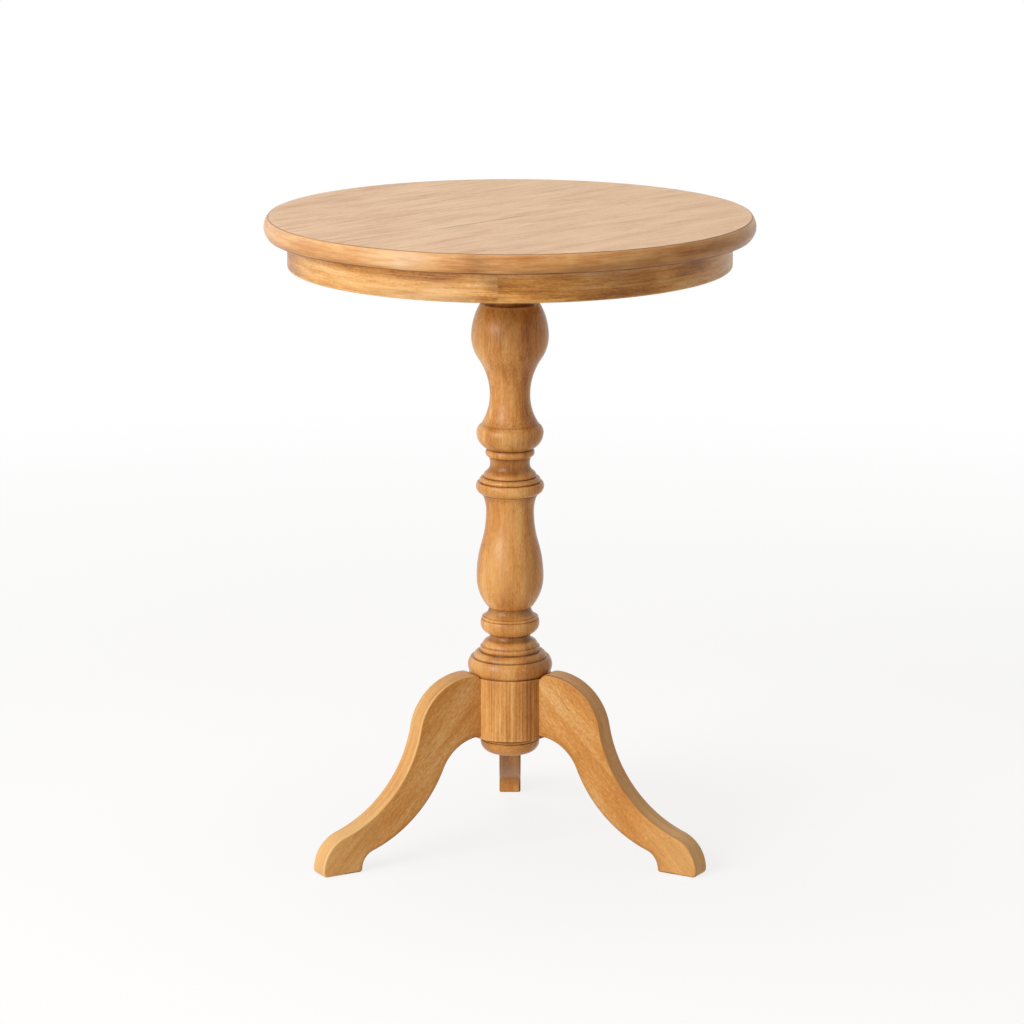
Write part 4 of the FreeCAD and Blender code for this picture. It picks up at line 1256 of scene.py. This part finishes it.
@dataclass
class Column(Assembly):
    """The turned baluster, from the drum that takes the legs to the tenon in the bearer.

    Attributes:
        foot, sides, rounding: height of its foot, faces round it and rounding of its arrises.
        faint: strength of the growth lines above the drum.
        step, smoothing, sink, polish_and_shading: spacing and width of the smoothing that finds hollows,
        depth of a full hollow, and limits of the polish and painted shade in hollows and of the painted
        highlight on crests.
        spots: other stains, painted highlights and painted shade.
        drum, vase, collar, bulb: members from the foot up.
    """

    foot: float = 121.5
    sides: int = 128
    rounding: float = 0.2
    faint: float = 0.2
    step: float = 0.25
    smoothing: float = 4.0
    sink: float = 4.0
    polish_and_shading: tuple[float, float] = (-0.1, 0.8)
    # Column spots: the ring at 572 is painted shade of the apron round the crown; the pale ones at -45 on
    # the bulb and at -15 and -25 on the vase are a painted highlight; the one at 41 is painted shade on the
    # drum's right and the one at -48 painted light on its left; the others darken the column at these
    # places.
    spots: tuple[Spot, ...] = (
        Spot(20.0, 560.0, 32.0, 16.0, 0.6),
        Spot(0.0, 572.0, 180.0, 4.0, 0.4),
        Spot(10.0, 437.0, 60.0, 10.0, 0.45),
        Spot(12.0, 543.0, 40.0, 26.0, 0.36),
        Spot(-45.0, 545.0, 22.0, 22.0, -0.35),
        Spot(-15.0, 310.0, 30.0, 40.0, -0.35),
        Spot(41.0, 155.0, 13.0, 60.0, 0.8),
        Spot(-48.0, 155.0, 15.0, 60.0, -0.6),
        Spot(28.0, 302.0, 9.0, 18.0, 0.5),
        Spot(12.0, 399.0, 16.0, 7.0, 0.5),
        Spot(-25.0, 310.0, 14.0, 22.0, -0.5),
    )
    drum: tuple[Member, ...] = (
        Member(BAND, 64.5, 42.8),
        Member(BAND, 1.0, 40.6),
        Member(RISE, 7.5, 43.9, 41.4),
        Member(LEAVE, 8.6, 40.8),
        Member(LEAVE, 6.2, 33.2, 38.2),
        Member(BAND, 0.8, 31.0),
        Member(RISE, 2.0, 31.2, 30.8),
        Member(LEAVE, 2.6, 30.7),
        Member(BAND, 0.7, 29.4),
        Member(OGEE, 11.4, 20.8, 28.8, share=0.52),
        Member(BAND, 1.2, 20.2),
    )
    vase: tuple[Member, ...] = (
        Member(RISE, 11.5, 30.6, 21.8),
        Member(LEAVE, 3.9, 29.9),
        Member(BAND, 0.6, 28.8),
        Member(RISE, 1.3, 29.3, 28.9),
        Member(LEAVE, 1.3, 28.1),
        Member(BAND, 0.6, 26.6),
        Member(RISE, 8.8, 21.9, 27.1),
        Member(RISE, 32.5, 34.7, 22.3),
        Member(OGEE, 69.0, 24.7, share=0.52),
        Member(LEAVE, 17.0, 27.9),
        Member(BAND, 2.0, 28.6),
    )
    collar: tuple[Member, ...] = (
        Member(RISE, 8.1, 35.2, 29.7),
        Member(LEAVE, 4.2, 33.8),
        Member(BAND, 0.6, 31.0),
        Member(RISE, 1.2, 31.6, 31.2),
        Member(LEAVE, 3.6, 29.1),
        Member(BAND, 0.8, 26.8),
        Member(OGEE, 13.0, 20.5, 27.4, share=0.35),
        Member(LEAVE, 7.8, 22.2),
        Member(RISE, 4.0, 25.4, 23.0),
        Member(LEAVE, 3.5, 24.2),
        Member(BAND, 0.7, 23.6),
        Member(RISE, 16.8, 34.6, 24.1),
        Member(LEAVE, 8.3, 30.2),
    )
    bulb: tuple[Member, ...] = (
        Member(RISE, 30.7, 20.8, 30.1),
        Member(OGEE, 61.0, 39.8, share=0.63),
        Member(LEAVE, 34.2, 30.5),
        Member(RISE, 21.0, 21.5, 25.5),
        Member(LEAVE, 16.0, 29.5),
        Member(BAND, 6.0, 32.0),
        Member(BAND, 28.0, 16.0),
    )

    def grain(self, points: np.ndarray) -> np.ndarray:
        """Grain vector: up the column, from left to right across the growth rings, and back."""
        return points[:, [2, 0, 1]] * MM

    def bold(self, points: np.ndarray) -> np.ndarray:
        """Strength of the growth lines: full on the drum and faint above it."""
        return np.where(points[:, 2] < self.foot + self.drum[0].height, 1.0, self.faint)

    def patina_and_shading(self, profile: np.ndarray, points: np.ndarray) -> np.ndarray:
        """Stain and painted shading: the placed spots, with polish and painted shade gathered in hollows,
        and crests paled as rubbed wood and painted highlight.

        A hollow lies within, and a crest beyond, the line that the profile follows when it is smoothed
        by a bell of the given width.

        Args:
            profile: points as radius and height.
            points: points of the column.

        Returns:
            The stain and painted shading at each point.
        """
        rise = np.maximum.accumulate(profile[:, 1])
        levels = np.arange(rise[0], rise[-1], self.step)
        weights = bell(self.smoothing / self.step)
        line = np.pad(np.interp(levels, rise, profile[:, 0]), len(weights) // 2, mode="edge")
        smooth = np.interp(points[:, 2], levels, np.convolve(line, weights, mode="valid"))
        # Wood below the smoothed line darkens as polish and painted shade; wood proud of it pales as painted
        # highlight.
        sunk = (smooth - np.hypot(points[:, 0], points[:, 1])) / self.sink
        return stains_and_shading(self.spots, points) + np.clip(sunk, *self.polish_and_shading)

    def build(self) -> None:
        """Turns the column."""
        members = self.drum + self.vase + self.collar + self.bulb
        profile, wear_and_shading = eased(turned_profile(members, self.foot), self.rounding)
        skin = Skin()
        skin.revolve(profile, wear_and_shading, self.sides)
        fields = {"grain": self.grain, "bold": self.bold, "stain_and_shade": partial(self.patina_and_shading, profile)}
        self.made["column"] = skin.make("turned_column", fields)

    def dress(self) -> bpy.types.Material:
        """Gives the column its warm honey lacquer.

        Returns:
            The lacquer, for other turned pieces.
        """
        finish = WoodFinish(
            "column_lacquer",
            deep=(164, 98, 38), body=(207, 144, 76), pale=(232, 183, 117), dark=(100, 56, 20),
            streak=0.15, fibre=0.15, cloud=0.50, grit=0.20, bold=0.085,
            dashes=0.3, rub_and_highlight=0.10, roughness=0.28,
        ).make()
        self.publish(Slot.COLUMN, finish)
        return finish


@dataclass
class BaseCap(Assembly):
    """The turned cap under the drum: height of its foot, faces round it, rounding and members."""

    foot: float = 102.5
    sides: int = 96
    rounding: float = 0.2
    members: tuple[Member, ...] = (
        Member(RISE, 10.0, 30.8, 13.0),
        Member(BAND, 2.0, 30.8),
        Member(BAND, 0.6, 29.4),
        Member(BAND, 2.0, 30.2),
        Member(BAND, 4.4, 28.6),
    )

    def grain(self, points: np.ndarray) -> np.ndarray:
        """Grain vector: along X, as the cap is turned from a flat piece."""
        return points * MM

    def build(self) -> None:
        """Turns the cap."""
        profile, wear_and_shading = eased(turned_profile(self.members, self.foot), self.rounding)
        skin = Skin()
        skin.revolve(profile, wear_and_shading, self.sides)
        self.made["base_cap"] = skin.make("turned_base_cap", {"grain": self.grain})

    def dress(self, finish: bpy.types.Material) -> None:
        """Gives the cap the column's lacquer."""
        self.publish(Slot.COLUMN, finish)


@dataclass(frozen=True)
class LegLook:
    """How one leg stands and shows.

    Attributes:
        turn: its direction, in degrees.
        shade: painted shade of its sides, deepest on the back leg.
        edge_sheen: how much paler its narrow edges are, as painted light.
        arris_shading: painted light and shade of its upper arrises, from painted shade at -1 to a painted
            highlight at 1.
    """

    turn: float
    shade: float
    edge_sheen: float
    arris_shading: float


@dataclass
class Legs(Assembly):
    """Three flat sawn legs with eased edges, set round the drum.

    Attributes:
        looks: the legs by name.
        thickness, arris, hold: thickness, rounding of the edges and the straight run beside each round.
        root, root_top, knee: distance of the root from the axis, and its upper and lower height.
        crest: highest point of the upper edge.
        upper, lower: radii of the arcs of the upper and lower edge.
        toe, toe_round, sole, heel_round: reach and rounding of the toe, length of the sole, heel rounding.
        slope: slope of the fibres, in degrees.
        shift, edge_stretch: distance between the figures of two legs, and how fine it is on the edges.
        foot_start, foot_run, foot_light: where a leg gets paler towards the floor as painted light, over
            what
        length and by how much.
        under_shade, side_shade: painted shade along the lower arrises and on the sides beside them.
        rows, round_rows, flat_rows, side_rows: points along an edge, round an arris, over an edge and over
            a side.
        border, margin: shares of a side at which its outer rows lie.
    """

    # Per-leg painted light: the back leg gets the deepest painted shade; the left leg's upper arrises get a
    # painted highlight and the right leg's painted shade; the narrow edges of the left and right legs get
    # painted light.
    looks: dict[str, LegLook] = field(default_factory=lambda: {
        "back": LegLook(90.0, 0.8, 0.0, 0.3),
        "left": LegLook(210.0, 0.05, 0.6, 1.0),
        "right": LegLook(330.0, 0.12, 0.6, -0.45),
    })
    thickness: float = 23.0
    arris: float = 2.0
    hold: float = 0.4
    root: float = 41.226
    root_top: float = 185.8
    knee: float = 124.3
    crest: tuple[float, float] = (52.5, 191.8)
    upper: tuple[float, float, float] = (61.5, 131.0, 37.5)
    lower: tuple[float, float, float] = (48.0, 138.0, 18.5)
    toe: float = 226.5
    toe_round: float = 5.0
    sole: float = 37.5
    heel_round: float = 3.0
    slope: float = -44.0
    shift: tuple[float, float] = (611.0, 23.0)
    edge_stretch: float = 1.6
    foot_start: float = 140.0
    foot_run: float = 60.0
    foot_light: float = 0.9
    under_shade: float = -0.8
    side_shade: float = -0.3
    rows: int = 150
    round_rows: int = 6
    flat_rows: int = 7
    side_rows: int = 13
    border: float = 0.02
    margin: float = 0.08

    @staticmethod
    def chain(
        start: Sequence[float], end: Sequence[float], radii: Sequence[float], count: int = 60
    ) -> np.ndarray:
        """S-curve of three touching arcs: level at its start and plumb at its end.

        The middle arc bends the other way. Its centre lies where circles of the summed radii round the
        outer centres cross.

        Args:
            start: first point.
            end: last point.
            radii: radii of the three arcs.
            count: number of points on each arc.

        Returns:
            Points along the curve.
        """
        one = np.array([start[0], start[1] - radii[0]])
        three = np.array([end[0] - radii[2], end[1]])
        first, second = radii[0] + radii[1], radii[1] + radii[2]
        gap = np.linalg.norm(three - one)
        ahead = (three - one) / gap
        along = (first ** 2 - second ** 2 + gap ** 2) / (2 * gap)
        aside = math.sqrt(first ** 2 - along ** 2)
        two = one + ahead * along + aside * np.array([-ahead[1], ahead[0]])
        meet_in = one + (two - one) * radii[0] / first
        meet_out = three + (two - three) * radii[2] / second
        return np.concatenate([
            round_arc(one, start, meet_in, count),
            round_arc(two, meet_in, meet_out, count)[1:],
            round_arc(three, meet_out, end, count)[1:],
        ])

    def edges(self) -> tuple[np.ndarray, np.ndarray]:
        """Upper and lower edges of a leg: arcs from the drum to the foot, and a flat on the sole.

        Returns:
            Points of each as distance from the axis and height, from the drum to the sole's middle.
        """
        ball = self.toe - self.toe_round
        back = ball - self.sole
        middle = ((ball + back) / 2, 0.0)
        reach, rise = self.crest[0] - self.root, self.crest[1] - self.root_top
        centre = (self.crest[0], self.crest[1] - (reach ** 2 + rise ** 2) / (2 * rise))
        tip = (self.toe, self.toe_round)
        upper = np.concatenate([
            round_arc(centre, (self.root, self.root_top), self.crest),
            self.chain(self.crest, tip, self.upper)[1:],
            round_arc((ball, self.toe_round), tip, (ball, 0.0))[1:],
            [middle],
        ])
        heel = (back - self.heel_round, self.heel_round)
        lower = np.concatenate([
            self.chain((self.root, self.knee), heel, self.lower),
            round_arc((back, self.heel_round), heel, (back, 0.0))[1:],
            [middle],
        ])
        return respace(upper, self.rows), respace(lower, self.rows)

    def leg(self, look: LegLook) -> Skin:
        """One leg: its edges carried across the thickness with a quarter round at each side.

        Across the round the outline moves in by the arris times one less the cosine, and out to the side
        by the arris times the sine. The sides are straight lines from the upper edge to the lower edge.

        Args:
            look: how the leg stands and shows.

        Returns:
            The surface of the leg.
        """
        straight = self.thickness / 2 - self.arris
        tilt = np.radians(np.linspace(0.0, 90.0, self.round_rows))
        out = straight + self.arris * np.sin(tilt)
        level = np.zeros(self.flat_rows)
        flat = np.linspace(-1.0, 1.0, self.flat_rows) * (straight - self.hold)
        aside = np.concatenate([-out[::-1], flat, out])
        inward = self.arris * np.concatenate([(1 - np.cos(tilt))[::-1], level, 1 - np.cos(tilt)])
        worn_and_shaded = np.concatenate([np.sin(2 * tilt)[::-1], level, np.sin(2 * tilt)])
        skin = Skin()
        rims = []
        # Upper arrises take each leg's painted light and shade; the lower arrises get a painted shade line.
        for path, side, arris_shading in zip(self.edges(), (-1.0, 1.0), (look.arris_shading, self.under_shade)):
            normals = normals_of(path) * side
            normals[0], normals[-1] = (0.0, -side), (0.0, -1.0)
            moved = path[:, None] - normals[:, None] * inward[None, :, None]
            grid = np.stack([moved[..., 0], aside + 0 * moved[..., 0], moved[..., 1]], axis=-1)
            rims.append(grid)
            skin.add(turned(grid, look.turn), arris_shading * worn_and_shaded[None, :])
        upper, lower = rims
        far = 1.0 - self.margin
        inner = np.linspace(self.margin, far, self.side_rows)
        share = np.concatenate([[0.0, self.border], inner, [1.0 - self.border, 1.0]])
        # Painted shade on the sides, deepening towards the lower arris.
        dark = self.side_shade * np.clip((share - far) / (self.margin - self.border), 0.0, 1.0)
        for end in (0, -1):
            skin.add(turned(between(upper[:, end], lower[:, end], share), look.turn), dark[:, None])
        skin.add(turned(between(upper[0], lower[0], share), look.turn))
        return skin

    def on_edge(self, local: np.ndarray) -> np.ndarray:
        """One on the narrow edges of a leg and nil on its sides."""
        return np.clip((self.thickness / 2 - np.abs(local[:, 1])) / self.arris, 0.0, 1.0)

    def grain(self, number: int, turn: float, points: np.ndarray) -> np.ndarray:
        """Grain vector of a leg: down the slope, across it and through the thickness.

        On the narrow edges the fibres' second axis runs through the thickness too.

        Args:
            number: number of the leg, from 0.
            turn: its direction, in degrees.
            points: points of the leg.

        Returns:
            A vector for each point.
        """
        local = turned(points, -turn)
        slope, edge = math.radians(self.slope), self.on_edge(local)
        along = local[:, 0] * math.cos(slope) + local[:, 2] * math.sin(slope)
        across = local[:, 2] * math.cos(slope) - local[:, 0] * math.sin(slope)
        across = across * (1.0 - edge) + self.edge_stretch * local[:, 1] * edge
        figure = [along + self.shift[0] * number, across + self.shift[1] * number, local[:, 1]]
        return np.stack(figure, axis=-1) * MM

    def stain_and_shade(self, look: LegLook, points: np.ndarray) -> np.ndarray:
        """Painted shading of a leg: its painted shade, paler narrow edges as painted light, and paler
        towards the foot as painted light from the floor.

        Args:
            look: how the leg stands and shows.
            points: points of the leg.

        Returns:
            The painted shading at each point.
        """
        local = turned(points, -look.turn)
        foot = np.clip((local[:, 0] - self.foot_start) / self.foot_run, 0.0, 1.0)
        # Painted shade of the leg, less painted light on its narrow edges and near its foot.
        return look.shade - look.edge_sheen * self.on_edge(local) - self.foot_light * foot

    def build(self) -> None:
        """Makes the three legs."""
        for number, (name, look) in enumerate(self.looks.items()):
            fields = {"grain": partial(self.grain, number, look.turn), "stain_and_shade": partial(self.stain_and_shade, look)}
            self.made[f"leg_{name}"] = self.leg(look).make(f"sawn_leg_{name}", fields)

    def dress(self) -> None:
        """Gives the legs their lacquer."""
        finish = WoodFinish(
            "leg_lacquer",
            deep=(178, 114, 50), body=(209, 146, 74), pale=(232, 190, 128), dark=(100, 54, 14),
            streak=0.12, fibre=0.18, cloud=0.38, grit=0.32, dashes=0.3, rub_and_highlight=0.45,
        )
        self.publish(Slot.LEG, finish.make())


@dataclass
class HiddenPieces:
    """Bearer, blocks, splines, dowels, wedge and screws, which stay as the CAD made them.

    Attributes:
        nodes: all CAD nodes.
        replaced: names of those that new pieces stand for.
        grain: direction of the fibres in degrees, which the bearer crosses.
    """

    nodes: dict[str, bpy.types.Object]
    replaced: set[str]
    grain: float = 46.0

    def dress(self) -> None:
        """Gives bare wood to the inner pieces and steel to the screws."""
        along = BareWood("bare_wood_along", self.grain).make()
        across = BareWood("bare_wood_across", self.grain + 90.0).make()
        steel = DrawnSteel("drawn_steel").make()
        for name in sorted(set(self.nodes) - self.replaced):
            if name.endswith("screws"):
                material = steel
            elif name.startswith("bearer"):
                material = across
            else:
                material = along
            slots = self.nodes[name].data.materials
            slots.clear()
            slots.append(material)
            LOG.info("%s: %s", name, material.name)


@dataclass(frozen=True)
class Lamp:
    """A square lamp: where it hangs and the point that it faces, the length of its side and its power."""

    name: str
    place: Point
    aim: Point
    side: float
    watts: float

    def hang(self) -> None:
        """Puts the lamp into the scene."""
        data = bpy.data.lights.new(self.name, "AREA")
        data.shape = "SQUARE"
        data.size = self.side
        data.energy = self.watts
        lamp = bpy.data.objects.new(self.name, data)
        lamp.location = self.place
        lamp.rotation_euler = (Vector(self.aim) - Vector(self.place)).to_track_quat("-Z", "Y").to_euler()
        bpy.context.scene.collection.objects.link(lamp)


@dataclass
class Studio:
    """White sweep, soft lamps and the camera of the photograph, with sizes in metres.

    Attributes:
        reach, height, dip: the camera's distance and height, and how far it looks down, in degrees.
        lens, sensor, aside: its focal length and sensor in millimetres, and its sideways shift.
        ambient, haze: strength and colour of the world as a lamp.
        floor, drop: radius of the floor, and how far it lies under the soles.
        rings, sides: points and faces of the floor's mesh.
        fade: shares of the radius between which the floor fades out.
        contact: ray lengths between which it starts to show, as multiples of the drop.
        glow, paint, bounce: the floor's own light, its colour to the eye and its colour for stray light.
        lamps: the lamps.
    """

    reach: float = 4.224
    height: float = 1.326
    dip: float = 12.93
    lens: float = 147.69
    sensor: float = 36.0
    aside: float = 0.00195
    ambient: float = 0.335
    haze: Rgba = (1.0, 0.92, 0.80, 1.0)
    floor: float = 2.4
    drop: float = 0.0003
    rings: int = 13
    sides: int = 96
    fade: tuple[float, float] = (0.35, 0.95)
    contact: tuple[float, float] = (2.0, 12.0)
    glow: float = 0.80
    paint: Rgba = (0.93, 0.93, 0.93, 1.0)
    bounce: Rgba = (0.82, 0.75, 0.64, 1.0)
    lamps: tuple[Lamp, ...] = (
        Lamp("key_lamp", (-2.3, -2.2, 1.7), (0.0, 0.0, 0.38), 2.0, 90.0),
        Lamp("top_lamp", (-0.3, 0.2, 3.0), (0.0, 0.0, 0.6), 1.8, 27.0),
        Lamp("low_lamp", (-1.6, -2.8, 0.3), (0.0, 0.0, 0.1), 1.6, 9.0),
    )

    def build(self) -> None:
        """Sets up the camera, the world, the floor and the lamps."""
        self.add_camera()
        self.add_world()
        self.add_floor()
        for lamp in self.lamps:
            lamp.hang()
        bpy.context.scene.view_settings.view_transform = "Standard"

    def add_camera(self) -> None:
        """Places the camera in front, looking a little down."""
        data = bpy.data.cameras.new("camera")
        data.lens = self.lens
        data.sensor_width = self.sensor
        data.shift_x = self.aside
        camera = bpy.data.objects.new("camera", data)
        camera.location = (0.0, -self.reach, self.height)
        camera.rotation_euler = (math.radians(90.0 - self.dip), 0.0, 0.0)
        bpy.context.scene.collection.objects.link(camera)
        bpy.context.scene.camera = camera

    def add_world(self) -> None:
        """Makes a world that is white to the eye and softer as a lamp."""
        world = bpy.data.worlds.new("white_room")
        bpy.context.scene.world = world
        nodes = Nodes(world)
        soft = nodes.node("ShaderNodeBackground", {"Color": self.haze, "Strength": self.ambient})
        white = nodes.node("ShaderNodeBackground", {"Color": WHITE, "Strength": 1.0})
        mixed = nodes.cover(nodes.seen(), soft.outputs["Background"], white.outputs["Background"])
        nodes.node("ShaderNodeOutputWorld", {"Surface": mixed})

    def add_floor(self) -> None:
        """Lays a round white floor that fades out at its rim, and is open from below and under the soles."""
        skin = Skin()
        flat = np.zeros(self.rings)
        ring = np.stack([np.linspace(0.0, self.floor, self.rings), flat], axis=-1) / MM
        skin.revolve(ring, flat, self.sides)
        floor = skin.make("floor", {})
        floor.location.z = -self.drop
        nodes = Nodes(bpy.data.materials.new("white_floor"))
        far = nodes.node("ShaderNodeVectorMath", {0: nodes.place()}, operation="LENGTH").outputs["Value"]
        start, end = (self.floor * share for share in self.fade)
        under = nodes.node("ShaderNodeNewGeometry", {}).outputs["Backfacing"]
        gone = nodes.most(nodes.span(far, (start, end), 0.0, 1.0), under)
        ray = nodes.node("ShaderNodeLightPath", {}).outputs["Ray Length"]
        near, clear = (self.drop * times for times in self.contact)
        gone = nodes.most(gone, nodes.span(ray, (near, clear), 1.0, 0.0))
        seen = nodes.seen()
        paint = nodes.node("ShaderNodeBsdfDiffuse", {"Color": nodes.mix(seen, self.bounce, self.paint)})
        white = nodes.node("ShaderNodeEmission", {"Color": WHITE, "Strength": 1.0})
        lit = nodes.cover(nodes.times(seen, self.glow), paint.outputs["BSDF"], white.outputs["Emission"])
        glass = nodes.node("ShaderNodeBsdfTransparent", {})
        mixed = nodes.cover(gone, lit, glass.outputs["BSDF"])
        nodes.node("ShaderNodeOutputMaterial", {"Surface": mixed})
        floor.data.materials.append(nodes.owner)


def main() -> None:
    """Builds the table piece by piece, dresses it and sets up the studio."""
    logging.basicConfig(level=logging.INFO, format="%(name)s: %(message)s")
    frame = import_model()
    parts = (RoundTop(), Apron(), Column(), BaseCap(), Legs())
    top, apron, column, cap, legs = parts
    for part in parts:
        part.build()
    top.dress()
    apron.dress()
    cap.dress(column.dress())
    legs.dress()
    replaced = {node for part in parts for node in part.made}
    HiddenPieces(frame["nodes"], replaced).dress()
    Studio().build()


if __name__ == "__main__":
    main()
